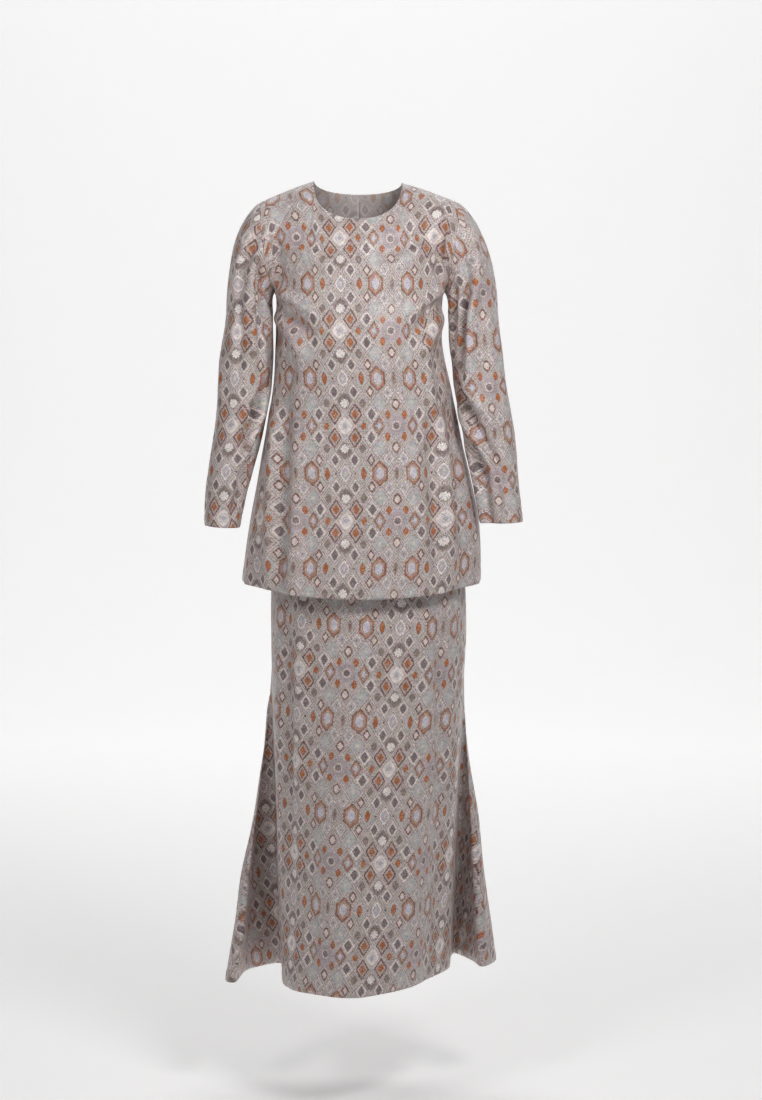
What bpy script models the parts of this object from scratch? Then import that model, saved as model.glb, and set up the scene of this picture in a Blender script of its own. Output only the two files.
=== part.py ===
"""Baju kurung: a long-sleeved tunic worn over a long skirt with fluted sides.

Every piece of cloth is a wall of even thickness.  The tunic is one surface, made
from rings below the underarm and from arched columns above it; its sleeves start
on the armhole rings.  The surface is then cut at its seams into the panels that a
maker sews.  Metres, +Z up, front towards -Y, origin between the shoulders.
"""
import math
from collections import namedtuple

import bmesh
import bpy
from mathutils import Vector

# ---- cloth
WALL = 0.0015            # thickness of the cloth walls
BAND_WALL = 0.0022       # the waistband holds elastic
SEAM_GAP = 0.0003        # between two pieces that are sewn together

# ---- heights, measured from the middle of the shoulder line
NECK_POINT_Z = 0.019
SHOULDER_TIP_Z = -0.017
UNDERARM_Z = -0.161
TUNIC_HEM_FRONT_Z = -0.654
TUNIC_HEM_SIDE_Z = -0.637
TUNIC_HEM_BACK_Z = -0.648
WAIST_Z = -0.342
FLUTE_START_Z = -0.715
SKIRT_HEM_Z = -1.300
SKIRT_HEM_RISE = 0.055   # the hem rises by this much for each metre to the right
WAISTBAND_HEIGHT = 0.030

# ---- neck, shoulders and armholes
NECK_MIDDLE_X = -0.005
NECK_HALF_WIDTH = 0.072
NECK_FRONT_DROP = 0.062
NECK_BACK_DROP = 0.019
NECK_FRONT_Y = -0.074
NECK_BACK_Y = 0.060
NECK_BACK_SQUARE = 2.2
NECK_POINT_FALL = 0.003  # the right neck point lies this much lower than the left
SHOULDER_CROWN = 0.002
SHOULDER_SHARE = 0.31    # share of a panel's width that each shoulder takes
SLIT_ROWS = 6
SLIT_WIDTH = 0.0010

# ---- how the columns of the upper tunic curve, as pulls at their two ends
SIDE_LEAN = 0.010
SIDE_RISE = 1.1
ARMHOLE_SPREAD = 0.16    # share of the width over which a column feels the armhole
ARMHOLE_REACH = 0.252    # pull of the armhole curve towards the front and the back
SHOULDER_BEND = 0.200
ARMHOLE_BEND = 0.262
SHOULDER_LIFT = 0.045
NECK_FRONT_PULL = 0.075
NECK_BACK_PULL = 0.050
NECK_BLEND = 0.25        # how soon beside the shoulder the neck's pull sets in

# ---- how the sleeve caps leave the armhole and turn down into the arm
CAP_SLOPE = Vector((0.116, 0.0, -0.077))
CAP_UNDERARM_SLOPE = 0.25
CAP_DROP = 0.22
CAP_UNDERARM_DROP = 0.030

# ---- skirt: turns count the rows of the flutes' table
RIGHT_SEAM_TURN = 8.5    # the side seams run down the flutes' outer crests
LEFT_SEAM_TURN = 17.0
FLUTE_SOFTNESS = 0.12    # how slowly the flutes set in below their start

# ---- fineness
PANEL_COLUMNS = 20
UPPER_ROWS = 8
LOWER_ROWS = 10
SLEEVE_ROWS = 14
CAP_ROWS = 5
SKIRT_COLUMNS = 27
SKIRT_ROWS = 13
BAND_COLUMNS = 16

# ---- button and loop of the back neck
BUTTON_RADIUS = 0.0045
BUTTON_THICKNESS = 0.0024
BUTTON_FROM_SLIT = 0.0085
BUTTON_BELOW_NECK = 0.0075
BUTTON_OFF_CLOTH = 0.0016
BUTTON_RIM = 0.0005
LOOP_RADIUS = 0.0006
LOOP_HALF_FOOT = 0.0022  # half the distance between the loop's two ends
LOOP_OVER_SLIT = 0.0055  # how far past the slit its ends are sewn on
LOOP_OPENING = 60.0      # degrees left open towards the slit
LOOP_STEPS = 8
BACK_WIDTH = 0.238       # width and height of the back over which shares are read
BACK_HEIGHT = 0.165
PROBE = 0.01             # share of a panel used to find its slope

TunicRing = namedtuple("TunicRing", "name z left right front back square")
TUNIC_RINGS = (
    TunicRing("underarm", -0.161, -0.1390, 0.1345, 0.112, 0.112, 2.35),
    TunicRing("bust", -0.242, -0.1405, 0.1330, 0.128, 0.108, 2.30),
    TunicRing("waist", -0.344, -0.1460, 0.1535, 0.123, 0.105, 2.20),
    TunicRing("high_hip", -0.416, -0.1610, 0.1685, 0.129, 0.117, 2.15),
    TunicRing("hip", -0.477, -0.1720, 0.1830, 0.137, 0.130, 2.10),
    TunicRing("low_hip", -0.537, -0.1830, 0.1945, 0.144, 0.140, 2.10),
    TunicRing("thigh", -0.586, -0.1905, 0.1980, 0.150, 0.146, 2.10),
    TunicRing("hem", -0.640, -0.1965, 0.1985, 0.155, 0.151, 2.10),
)

# A soft fold stands out from the tunic's ring by its height at the hem, and fades
# to nothing at its start.  Turns go from the left side seam through the front.
Fold = namedtuple("Fold", "name turn half_turn height start_z")
TUNIC_FOLDS = (
    Fold("left_side", 0.055, 0.030, 0.005, -0.40),
    Fold("left_hollow", 0.110, 0.035, -0.006, -0.42),
    Fold("left_front", 0.165, 0.040, 0.004, -0.46),
    Fold("right_front", 0.345, 0.040, 0.004, -0.38),
    Fold("right_hollow", 0.400, 0.035, -0.006, -0.36),
    Fold("right_side", 0.452, 0.030, 0.005, -0.40),
    Fold("back_right", 0.585, 0.040, -0.007, -0.36),
    Fold("back_right_ridge", 0.650, 0.045, 0.006, -0.42),
    Fold("back_middle", 0.765, 0.050, -0.006, -0.34),
    Fold("back_left_ridge", 0.845, 0.040, 0.006, -0.40),
    Fold("back_left", 0.915, 0.035, -0.007, -0.38),
)

Arm = namedtuple("Arm", "side tip_x neck_square armhole_bow")
ARMS = (
    Arm("left", -0.1655, 2.6, -0.050),
    Arm("right", 0.1590, 2.2, 0.038),
)

SleeveRing = namedtuple("SleeveRing", "name z outer inner half_depth y tilt")
LEFT_SLEEVE = (
    SleeveRing("under_cap", -0.195, -0.2215, -0.1450, 0.058, -0.002, 0.02),
    SleeveRing("upper_arm", -0.245, -0.2275, -0.1452, 0.055, -0.004, 0.05),
    SleeveRing("above_elbow", -0.310, -0.2330, -0.1480, 0.051, -0.008, 0.06),
    SleeveRing("elbow", -0.360, -0.2365, -0.1545, 0.049, -0.014, 0.09),
    SleeveRing("below_elbow", -0.410, -0.2435, -0.1660, 0.046, -0.022, 0.12),
    SleeveRing("forearm", -0.465, -0.2515, -0.1815, 0.043, -0.032, 0.12),
    SleeveRing("wrist", -0.507, -0.2560, -0.1910, 0.040, -0.041, 0.09),
    SleeveRing("cuff", -0.544, -0.2555, -0.1980, 0.038, -0.048, 0.06),
)
RIGHT_SLEEVE = (
    SleeveRing("under_cap", -0.195, 0.2245, 0.1430, 0.057, -0.002, 0.02),
    SleeveRing("upper_arm", -0.245, 0.2305, 0.1465, 0.055, -0.004, 0.05),
    SleeveRing("above_elbow", -0.310, 0.2380, 0.1525, 0.051, -0.008, 0.06),
    SleeveRing("elbow", -0.352, 0.2445, 0.1605, 0.049, -0.014, 0.09),
    SleeveRing("below_elbow", -0.392, 0.2505, 0.1715, 0.046, -0.022, 0.12),
    SleeveRing("forearm", -0.433, 0.2550, 0.1830, 0.043, -0.030, 0.10),
    SleeveRing("wrist", -0.477, 0.2595, 0.1920, 0.040, -0.039, 0.06),
    SleeveRing("cuff", -0.537, 0.2640, 0.2010, 0.038, -0.048, 0.02),
)

SkirtRing = namedtuple("SkirtRing", "name z left right front back")
SKIRT_RINGS = (
    SkirtRing("waist", -0.342, -0.1120, 0.1250, 0.092, 0.090),
    SkirtRing("high_hip", -0.430, -0.1320, 0.1480, 0.112, 0.114),
    SkirtRing("hip", -0.540, -0.1460, 0.1660, 0.126, 0.130),
    SkirtRing("thigh", -0.660, -0.1495, 0.1735, 0.131, 0.134),
    SkirtRing("knee", -0.780, -0.1500, 0.1735, 0.133, 0.134),
    SkirtRing("hem", -1.300, -0.1500, 0.1735, 0.140, 0.140),
)

# Where the skirt's hem stands: a crest or a hollow in each row, with its bearing on
# the plain ring (front 270, right 0, back 90 degrees) and its place at the hem.
Flute = namedtuple("Flute", "name bearing x y")
SKIRT_FLUTES = (
    Flute("front_middle", 270.0, -0.005, -0.170),
    Flute("front_right", 305.0, 0.068, -0.131),
    Flute("right_turn", 325.0, 0.112, -0.070),
    Flute("right_edge", 341.0, 0.147, -0.012),
    Flute("right_wall", 352.0, 0.151, 0.040),
    Flute("right_recess", 2.0, 0.160, 0.094),
    Flute("right_flute_face", 11.0, 0.186, 0.040),
    Flute("right_flute_front", 18.0, 0.205, -0.008),
    Flute("right_flute_tip", 27.0, 0.229, 0.040),
    Flute("right_flute_rear", 38.0, 0.196, 0.112),
    Flute("back_right_hollow", 52.0, 0.122, 0.128),
    Flute("back_right_crest", 67.0, 0.088, 0.196),
    Flute("back_middle_right", 82.0, 0.030, 0.160),
    Flute("back_crest", 97.0, -0.026, 0.192),
    Flute("back_left_hollow", 112.0, -0.076, 0.146),
    Flute("back_left_crest", 127.0, -0.128, 0.178),
    Flute("left_flute_rear", 142.0, -0.180, 0.120),
    Flute("left_flute_tip", 153.0, -0.227, 0.010),
    Flute("left_flute_front", 161.0, -0.212, -0.025),
    Flute("left_flute_face", 169.0, -0.196, 0.050),
    Flute("left_recess", 178.0, -0.142, 0.090),
    Flute("left_wall", 188.0, -0.128, 0.030),
    Flute("left_edge", 199.0, -0.130, -0.040),
    Flute("left_turn", 213.0, -0.112, -0.098),
    Flute("front_left", 236.0, -0.068, -0.140),
)


def mix(first, second, share):
    return first * (1.0 - share) + second * share


def ease(share):
    """Zero to one with a soft start and end."""
    share = min(max(share, 0.0), 1.0)
    return share * share * (3.0 - 2.0 * share)


def spline(before, start, end, after, share):
    """A smooth curve through four values, read between the middle two."""
    slope_in = (end - before) * 0.5
    slope_out = (after - start) * 0.5
    return hermite(start, slope_in, end, slope_out, share)


def hermite(start, slope_in, end, slope_out, share):
    """A curve between two values that leaves and arrives with the given slopes."""
    cube = share ** 3
    square = share ** 2
    return (start * (2.0 * cube - 3.0 * square + 1.0) + slope_in * (cube - 2.0 * square + share)
            + end * (3.0 * square - 2.0 * cube) + slope_out * (cube - square))


def read(rows, column, z):
    """A column of a table whose rows go down, at a height between its rows."""
    values = [getattr(row, column) for row in rows]
    if z >= rows[0].z:
        return values[0]
    if z <= rows[-1].z:
        return values[-1]
    at = next(i for i in range(len(rows) - 1) if rows[i + 1].z <= z)
    share = (rows[at].z - z) / (rows[at].z - rows[at + 1].z)
    before = values[max(at - 1, 0)]
    after = values[min(at + 2, len(rows) - 1)]
    return spline(before, values[at], values[at + 1], after, share)


def arch(value, square):
    """A signed power that squares up an ellipse's cosine or sine."""
    return math.copysign(abs(value) ** (2.0 / square), value)


# ---- the tunic's surface

def fold_height(turn, z):
    """How far the soft folds move the tunic's ring outwards."""
    total = 0.0
    for fold in TUNIC_FOLDS:
        apart = abs((turn - fold.turn + 0.5) % 1.0 - 0.5) / fold.half_turn
        if apart < 1.0 and z < fold.start_z:
            grown = (fold.start_z - z) / (fold.start_z - TUNIC_HEM_FRONT_Z)
            total += fold.height * ease(1.0 - apart) * grown
    return total


def tunic_hem_z(turn):
    """The hem is lowest in front and rises at the sides."""
    side = abs(math.cos(2.0 * math.pi * turn)) ** 2
    middle = TUNIC_HEM_FRONT_Z if turn < 0.5 else TUNIC_HEM_BACK_Z
    return mix(middle, TUNIC_HEM_SIDE_Z, side)


def tunic_ring(turn, z):
    """A point of the tunic below the underarm: turn 0 left side, 0.25 front."""
    angle = math.pi * (1.0 + 2.0 * turn)
    square = read(TUNIC_RINGS, "square", z)
    left = read(TUNIC_RINGS, "left", z)
    right = read(TUNIC_RINGS, "right", z)
    across = arch(math.cos(angle), square)
    deep = arch(math.sin(angle), square)
    depth = read(TUNIC_RINGS, "front" if deep < 0.0 else "back", z)
    swell = fold_height(turn, z)
    half = (right - left) * 0.5 + swell
    return Vector(((left + right) * 0.5 + half * across, (depth + swell) * deep, z))


def neck_edge(share, front):
    """A point on the neckline: share 0 at the left neck point, 1 at the right."""
    angle = math.pi * share
    square = mix(ARMS[0].neck_square, ARMS[1].neck_square, share) if front else NECK_BACK_SQUARE
    across = -arch(math.cos(angle), square)
    down = arch(math.sin(angle), square)
    drop = NECK_FRONT_DROP if front else NECK_BACK_DROP
    reach = NECK_FRONT_Y if front else NECK_BACK_Y
    height = NECK_POINT_Z - NECK_POINT_FALL * share - drop * down
    return Vector((NECK_MIDDLE_X + NECK_HALF_WIDTH * across, reach * down, height))


def shoulder_edge(share, arm):
    """A point on a shoulder seam: share 0 at the tip, 1 at the neck."""
    neck_x = NECK_MIDDLE_X + math.copysign(NECK_HALF_WIDTH, arm.tip_x)
    neck_z = NECK_POINT_Z - (NECK_POINT_FALL if arm.side == "right" else 0.0)
    x = mix(arm.tip_x, neck_x, share)
    z = mix(SHOULDER_TIP_Z, neck_z, share) + SHOULDER_CROWN * math.sin(math.pi * share)
    return Vector((x, 0.0, z))


def top_edge(across, front):
    """The upper edge of a panel: left shoulder, neckline, right shoulder."""
    if across < SHOULDER_SHARE:
        return shoulder_edge(across / SHOULDER_SHARE, ARMS[0])
    if across > 1.0 - SHOULDER_SHARE:
        return shoulder_edge((1.0 - across) / SHOULDER_SHARE, ARMS[1])
    return neck_edge((across - SHOULDER_SHARE) / (1.0 - 2.0 * SHOULDER_SHARE), front)


def tunic_upper(across, up, front):
    """A point of the tunic above the underarm: up 0 at the underarm, 1 at the edge."""
    way = -1.0 if front else 1.0
    arm = ARMS[0] if across < 0.5 else ARMS[1]
    turn = across * 0.5 if front else 1.0 - across * 0.5
    foot = tunic_ring(turn % 1.0, UNDERARM_Z)
    head = top_edge(across, front)
    rise = head.z - foot.z
    from_side = min(across, 1.0 - across)
    at_armhole = max(0.0, 1.0 - from_side / ARMHOLE_SPREAD) ** 2
    in_neck = ease((from_side - SHOULDER_SHARE) / (0.5 - SHOULDER_SHARE) + NECK_BLEND)
    start = Vector((0.0, SIDE_LEAN * -way, rise * SIDE_RISE))
    start = mix(start, Vector((arm.armhole_bow, way * ARMHOLE_REACH, 0.0)), at_armhole)
    bend = mix(SHOULDER_BEND, ARMHOLE_BEND, at_armhole)
    shoulder_end = Vector((0.0, -way * bend, SHOULDER_LIFT * (1.0 - at_armhole)))
    neck_end = Vector((0.0, -way * (NECK_FRONT_PULL if front else NECK_BACK_PULL), rise))
    end = mix(shoulder_end, neck_end, in_neck)
    return hermite(foot, start, head, end, up)


def tunic_panel(front):
    """The grid of a front or back panel: rows upwards, columns anticlockwise from above."""
    rows = []
    for row in range(LOWER_ROWS):
        share = row / LOWER_ROWS
        line = []
        for column in range(PANEL_COLUMNS + 1):
            turn = (0.5 * column / PANEL_COLUMNS + (0.0 if front else 0.5)) % 1.0
            line.append(tunic_ring(turn, mix(tunic_hem_z(turn), UNDERARM_Z, share)))
        rows.append(line)
    for row in range(UPPER_ROWS + 1):
        line = []
        for column in range(PANEL_COLUMNS + 1):
            across = column / PANEL_COLUMNS
            line.append(tunic_upper(across if front else 1.0 - across, row / UPPER_ROWS, front))
        rows.append(line)
    return rows


# ---- the sleeves' surface

def sleeve_ring(rings, bearing, z):
    """A point of a sleeve: bearing 0 on the inner side, pi on the outer side."""
    outer = read(rings, "outer", z)
    inner = read(rings, "inner", z)
    along = (inner - outer) * 0.5 * math.cos(bearing)
    tilt = read(rings, "tilt", z) * (-1.0 if inner > outer else 1.0)
    deep = read(rings, "half_depth", z) * math.sin(bearing)
    return Vector(((inner + outer) * 0.5 + along, read(rings, "y", z) + deep, z + tilt * along))


def armhole_ring(arm):
    """The armhole from the underarm over the back to the tip and down the front."""
    across = 0.0 if arm.side == "left" else 1.0
    back = [tunic_upper(across, row / UPPER_ROWS, False) for row in range(UPPER_ROWS + 1)]
    front = [tunic_upper(across, row / UPPER_ROWS, True) for row in range(UPPER_ROWS - 1, 0, -1)]
    return back + front


def sleeve(arm, rings):
    """The grid of a sleeve: rows upwards from the cuff, the first column on the underarm."""
    hole = armhole_ring(arm)
    count = len(hole)
    out = math.copysign(1.0, arm.tip_x)
    cap_z = rings[0].z
    rows = []
    for row in range(SLEEVE_ROWS):
        z = mix(rings[-1].z, cap_z, row / SLEEVE_ROWS)
        rows.append([sleeve_ring(rings, 2.0 * math.pi * k / count, z) for k in range(count)])
    for row in range(CAP_ROWS + 1):
        line = []
        for k in range(count):
            bearing = 2.0 * math.pi * k / count
            height = 0.5 - 0.5 * math.cos(bearing)
            leave = Vector((out * CAP_SLOPE.x, 0.0, CAP_SLOPE.z)) * mix(CAP_UNDERARM_SLOPE, 1.0, height)
            arrive = Vector((0.0, 0.0, -mix(CAP_UNDERARM_DROP, CAP_DROP, height)))
            down = 1.0 - row / CAP_ROWS
            line.append(hermite(hole[k], leave, sleeve_ring(rings, bearing, cap_z), arrive, down))
        rows.append(line)
    if arm.side == "right":
        rows = [[line[0]] + line[:0:-1] for line in rows]
    return rows


# ---- the skirt's surface

def skirt_plain(bearing, z):
    """A point of the skirt's smooth ring, as if it hung straight."""
    angle = math.radians(bearing)
    left = read(SKIRT_RINGS, "left", z)
    right = read(SKIRT_RINGS, "right", z)
    depth = read(SKIRT_RINGS, "front" if math.sin(angle) < 0.0 else "back", z)
    x = (left + right) * 0.5 + (right - left) * 0.5 * math.cos(angle)
    return Vector((x, depth * math.sin(angle), z))


def flute_at(turn):
    """Bearing and hem place on the smooth line through the flutes; whole turns are rows."""
    count = len(SKIRT_FLUTES)
    at = int(math.floor(turn)) % count
    share = turn - math.floor(turn)
    four = [SKIRT_FLUTES[(at + step) % count] for step in (-1, 0, 1, 2)]
    bearings = [four[1].bearing + ((f.bearing - four[1].bearing + 180.0) % 360.0 - 180.0) for f in four]
    x = spline(*[f.x for f in four], share)
    y = spline(*[f.y for f in four], share)
    return spline(*bearings, share), x, y


def skirt_ring(turn, share):
    """A point of the skirt: turn counts the flutes' rows, share 0 at the hem, 1 at the waist."""
    bearing, hem_x, hem_y = flute_at(turn)
    hem_z = SKIRT_HEM_Z + SKIRT_HEM_RISE * hem_x
    z = mix(hem_z, WAIST_Z, share)
    plain = skirt_plain(bearing, z)
    fall = max(0.0, (FLUTE_START_Z - z) / (FLUTE_START_Z - hem_z))
    grown = fall * fall * (1.0 + FLUTE_SOFTNESS) / (fall + FLUTE_SOFTNESS)
    return Vector((mix(plain.x, hem_x, grown), mix(plain.y, hem_y, grown), z))


def skirt_panel(front):
    """The grid of the front or the back of the skirt: rows upwards."""
    rows_of_flutes = len(SKIRT_FLUTES)
    start = LEFT_SEAM_TURN - rows_of_flutes if front else RIGHT_SEAM_TURN
    end = RIGHT_SEAM_TURN if front else LEFT_SEAM_TURN
    rows = []
    for row in range(SKIRT_ROWS + 1):
        share = row / SKIRT_ROWS
        columns = range(SKIRT_COLUMNS + 1)
        rows.append([skirt_ring(mix(start, end, c / SKIRT_COLUMNS), share) for c in columns])
    return rows


# ---- from surfaces to walls

def spot(point):
    return (round(point.x, 6), round(point.y, 6), round(point.z, 6))


def quads(rows, closed):
    """Corner places of each face of a grid."""
    width = len(rows[0])
    last = width if closed else width - 1
    for row in range(len(rows) - 1):
        for column in range(last):
            right = (column + 1) % width
            yield ((row, column), (row, right), (row + 1, right), (row + 1, column))


def outward_directions(grids):
    """One outward direction for each point of all the grids, shared where pieces meet."""
    total = {}
    for rows, closed in grids:
        for corners in quads(rows, closed):
            points = [rows[r][c] for r, c in corners]
            for k, point in enumerate(points):
                ahead = points[(k + 1) % 4] - point
                behind = points[(k + 3) % 4] - point
                if ahead.length > 0.0 and behind.length > 0.0:
                    weight = ahead.angle(behind)
                    facing = ahead.cross(behind).normalized() * weight
                    total[spot(point)] = total.get(spot(point), Vector()) + facing
    return {key: value.normalized() for key, value in total.items()}


def drawn_back(rows, row, column, steps):
    """A point on a seam, drawn back from it into its own piece."""
    point = rows[row][column]
    moved = point.copy()
    for step_row, step_column in steps:
        inside = rows[row + step_row][column + step_column]
        moved += (inside - point).normalized() * SEAM_GAP * 0.5
    return moved


def seam_steps(rows, row, column, closed, seams):
    """Which ways a point is drawn back, from the edges of its grid that are seams."""
    steps = []
    if row == 0 and "bottom" in seams:
        steps.append((1, 0))
    if row == len(rows) - 1 and seams.get("top", lambda c: False)(column):
        steps.append((-1, 0))
    if not closed and "sides" in seams:
        if column == 0:
            steps.append((0, 1))
        if column == len(rows[0]) - 1:
            steps.append((0, -1))
    return steps


def cloth(name, rows, closed, directions, seams, wall=WALL, slit=None):
    """A closed wall: the grid outside, the same grid moved inwards, joined at its edges."""
    mesh = bmesh.new()
    outer = {}
    inner = {}

    def add(place, point, way):
        outer[place] = mesh.verts.new(point)
        inner[place] = mesh.verts.new(point - way * wall)

    for row, line in enumerate(rows):
        for column, point in enumerate(line):
            way = directions[spot(point)]
            steps = seam_steps(rows, row, column, closed, seams)
            moved = drawn_back(rows, row, column, steps)
            add((row, column), moved, way)
            if slit and column == slit["column"] and row > slit["foot"]:
                beside = (line[column + 1] - point).normalized() * SLIT_WIDTH * 0.5
                outer[(row, column)].co -= beside
                inner[(row, column)].co -= beside
                add((row, column, "far"), moved + beside, way)
    edges = {}
    for corners in quads(rows, closed):
        if slit and corners[0][1] == slit["column"]:
            corners = tuple((r, c, "far") if c == slit["column"] and r > slit["foot"] else (r, c)
                            for r, c in corners)
        mesh.faces.new([outer[c] for c in corners])
        mesh.faces.new([inner[c] for c in reversed(corners)])
        for k, corner in enumerate(corners):
            pair = (corner, corners[(k + 1) % 4])
            if edges.pop((pair[1], pair[0]), None) is None:
                edges[pair] = True
    for first, second in edges:
        rim = [outer[second], outer[first], inner[first], inner[second]]
        if spot(rows[first[0]][first[1]]) < spot(rows[second[0]][second[1]]):
            rim = rim[1:] + rim[:1]
        mesh.faces.new(rim)
    bmesh.ops.triangulate(mesh, faces=mesh.faces, quad_method="FIXED")
    bmesh.ops.recalc_face_normals(mesh, faces=mesh.faces)
    data = bpy.data.meshes.new(name)
    mesh.to_mesh(data)
    mesh.free()
    data.shade_smooth()
    return link(name, data)


# ---- small pieces at the back of the neck

def back_neck_place(from_slit, below_neck, off_cloth):
    """A point over the back panel beside the slit, and the outward direction there."""
    across = 0.5 + from_slit / BACK_WIDTH
    up = 1.0 - below_neck / BACK_HEIGHT
    point = tunic_upper(across, up, False)
    beside = tunic_upper(across + PROBE, up, False) - tunic_upper(across - PROBE, up, False)
    upwards = tunic_upper(across, up + PROBE, False) - tunic_upper(across, up - PROBE, False)
    out = upwards.cross(beside).normalized()
    return point + out * off_cloth, out, upwards.normalized()


def neck_button():
    """A flat round button on the right of the slit, clear of the cloth by the seam gap."""
    height = BUTTON_OFF_CLOTH + BUTTON_THICKNESS * 0.5
    place, out, _ = back_neck_place(BUTTON_FROM_SLIT, BUTTON_BELOW_NECK, height)
    turn = Vector((0.0, 0.0, 1.0)).rotation_difference(out)
    bpy.ops.mesh.primitive_cylinder_add(vertices=20, radius=BUTTON_RADIUS, depth=BUTTON_THICKNESS,
                                        location=place, rotation=turn.to_euler())
    button = bpy.context.object
    button.name = "neck_button"
    bevel = button.modifiers.new("rounded_rim", "BEVEL")
    bevel.width = BUTTON_RIM
    bevel.segments = 1
    return adopt(button)


def button_loop():
    """A thin fabric loop from the slit's left edge round the button."""
    centre, out, up = back_neck_place(BUTTON_FROM_SLIT, BUTTON_BELOW_NECK, BUTTON_OFF_CLOTH + LOOP_RADIUS)
    right = up.cross(out) * -1.0
    round_button = BUTTON_RADIUS + LOOP_RADIUS + SEAM_GAP
    end = BUTTON_FROM_SLIT + LOOP_OVER_SLIT
    half_turn = 180.0 - LOOP_OPENING * 0.5
    points = [centre - right * end + up * LOOP_HALF_FOOT]
    for step in range(LOOP_STEPS + 1):
        angle = math.radians(mix(half_turn, -half_turn, step / LOOP_STEPS))
        points.append(centre + right * math.cos(angle) * round_button + up * math.sin(angle) * round_button)
    points.append(centre - right * end - up * LOOP_HALF_FOOT)
    curve = bpy.data.curves.new("button_loop", "CURVE")
    curve.dimensions = "3D"
    curve.bevel_depth = LOOP_RADIUS
    curve.bevel_resolution = 1
    curve.use_fill_caps = True
    line = curve.splines.new("POLY")
    line.points.add(len(points) - 1)
    for knot, point in zip(line.points, points):
        knot.co = (*point, 1.0)
    return link("button_loop", curve)


# ---- scene

def material(name, colour, roughness, metallic=0.0):
    made = bpy.data.materials.new(name)
    made.use_nodes = True
    surface = made.node_tree.nodes["Principled BSDF"]
    surface.inputs["Base Color"].default_value = (*colour, 1.0)
    surface.inputs["Roughness"].default_value = roughness
    surface.inputs["Metallic"].default_value = metallic
    return made


def link(name, data):
    made = bpy.data.objects.new(name, data)
    bpy.data.collections["baju_kurung"].objects.link(made)
    return made


def adopt(made):
    """Move a primitive from the scene's own collection to the garment's."""
    for home in list(made.users_collection):
        home.objects.unlink(made)
    bpy.data.collections["baju_kurung"].objects.link(made)
    return made


def clear_scene():
    for old in list(bpy.data.objects):
        bpy.data.objects.remove(old, do_unlink=True)
    home = bpy.data.collections.new("baju_kurung")
    bpy.context.scene.collection.children.link(home)


def build_tunic():
    front = tunic_panel(True)
    back = tunic_panel(False)
    left = sleeve(ARMS[0], LEFT_SLEEVE)
    right = sleeve(ARMS[1], RIGHT_SLEEVE)
    directions = outward_directions([(front, False), (back, False), (left, True), (right, True)])
    shoulder = int(round(SHOULDER_SHARE * PANEL_COLUMNS))

    def on_shoulder(column):
        return min(column, PANEL_COLUMNS - column) <= shoulder

    panel_seams = {"sides": True, "top": on_shoulder}
    sleeve_seams = {"top": lambda column: True}
    slit = {"column": PANEL_COLUMNS // 2, "foot": LOWER_ROWS + UPPER_ROWS - SLIT_ROWS}
    return (
        cloth("top_front", front, False, directions, panel_seams),
        cloth("top_back", back, False, directions, panel_seams, slit=slit),
        cloth("sleeve_left", left, True, directions, sleeve_seams),
        cloth("sleeve_right", right, True, directions, sleeve_seams),
    )


def build_skirt():
    front = skirt_panel(True)
    back = skirt_panel(False)
    directions = outward_directions([(front, False), (back, False)])
    seams = {"sides": True}
    return (
        cloth("skirt_front", front, False, directions, seams),
        cloth("skirt_back", back, False, directions, seams),
    )


def build_waistband():
    """A plain elasticated band that stands on the skirt's waist."""
    low = WAIST_Z + SEAM_GAP
    rows = []
    for step in range(3):
        z = low + WAISTBAND_HEIGHT * step / 2.0
        line = []
        for column in range(2 * BAND_COLUMNS):
            point = skirt_plain(180.0 * column / BAND_COLUMNS, WAIST_Z)
            line.append(Vector((point.x, point.y, z)))
        rows.append(line)
    directions = outward_directions([(rows, True)])
    return (cloth("skirt_waistband", rows, True, directions, {}, wall=BAND_WALL),)


def main():
    clear_scene()
    print_cloth = material("printed_satin", (0.42, 0.36, 0.34), 0.45)
    band_cloth = material("waistband_satin", (0.33, 0.28, 0.27), 0.6)
    shell = material("button_shell", (0.30, 0.25, 0.23), 0.3)
    for made in (*build_tunic(), *build_skirt()):
        made.data.materials.append(print_cloth)
    for made in build_waistband():
        made.data.materials.append(band_cloth)
    neck_button().data.materials.append(shell)
    button_loop().data.materials.append(print_cloth)


main()
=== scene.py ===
"""Looks of a baju kurung: printed satin tunic and fluted skirt, worn and hollow.

The cloth pieces are thin shells on the forms of their solids, cut at the same
seams, with creases, hems and seam lines laid on.  The print is drawn from
a chart of motifs that repeats in mirror, in the cloth's own flat measures.
Metres, +Z up, front towards -Y.
"""
import math
from collections import namedtuple

import bmesh
import bpy
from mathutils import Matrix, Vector, noise


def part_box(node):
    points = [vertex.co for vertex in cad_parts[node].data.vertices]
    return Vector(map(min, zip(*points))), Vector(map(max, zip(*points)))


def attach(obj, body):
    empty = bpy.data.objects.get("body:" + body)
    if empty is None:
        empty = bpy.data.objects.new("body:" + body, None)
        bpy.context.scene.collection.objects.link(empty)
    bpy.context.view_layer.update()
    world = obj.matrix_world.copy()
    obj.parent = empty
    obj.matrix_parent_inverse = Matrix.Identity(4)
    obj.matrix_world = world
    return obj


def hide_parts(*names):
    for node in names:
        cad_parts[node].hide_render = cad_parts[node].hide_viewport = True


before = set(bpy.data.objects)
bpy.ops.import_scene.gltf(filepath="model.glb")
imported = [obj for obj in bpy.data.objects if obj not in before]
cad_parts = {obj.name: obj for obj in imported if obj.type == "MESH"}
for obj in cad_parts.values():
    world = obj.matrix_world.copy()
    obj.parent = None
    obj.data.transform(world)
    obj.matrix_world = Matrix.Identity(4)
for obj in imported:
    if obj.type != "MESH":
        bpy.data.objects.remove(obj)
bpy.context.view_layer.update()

# ---- heights, measured from the middle of the shoulder line
NECK_POINT_Z = 0.019
SHOULDER_TIP_Z = -0.017
UNDERARM_Z = -0.161
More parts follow.
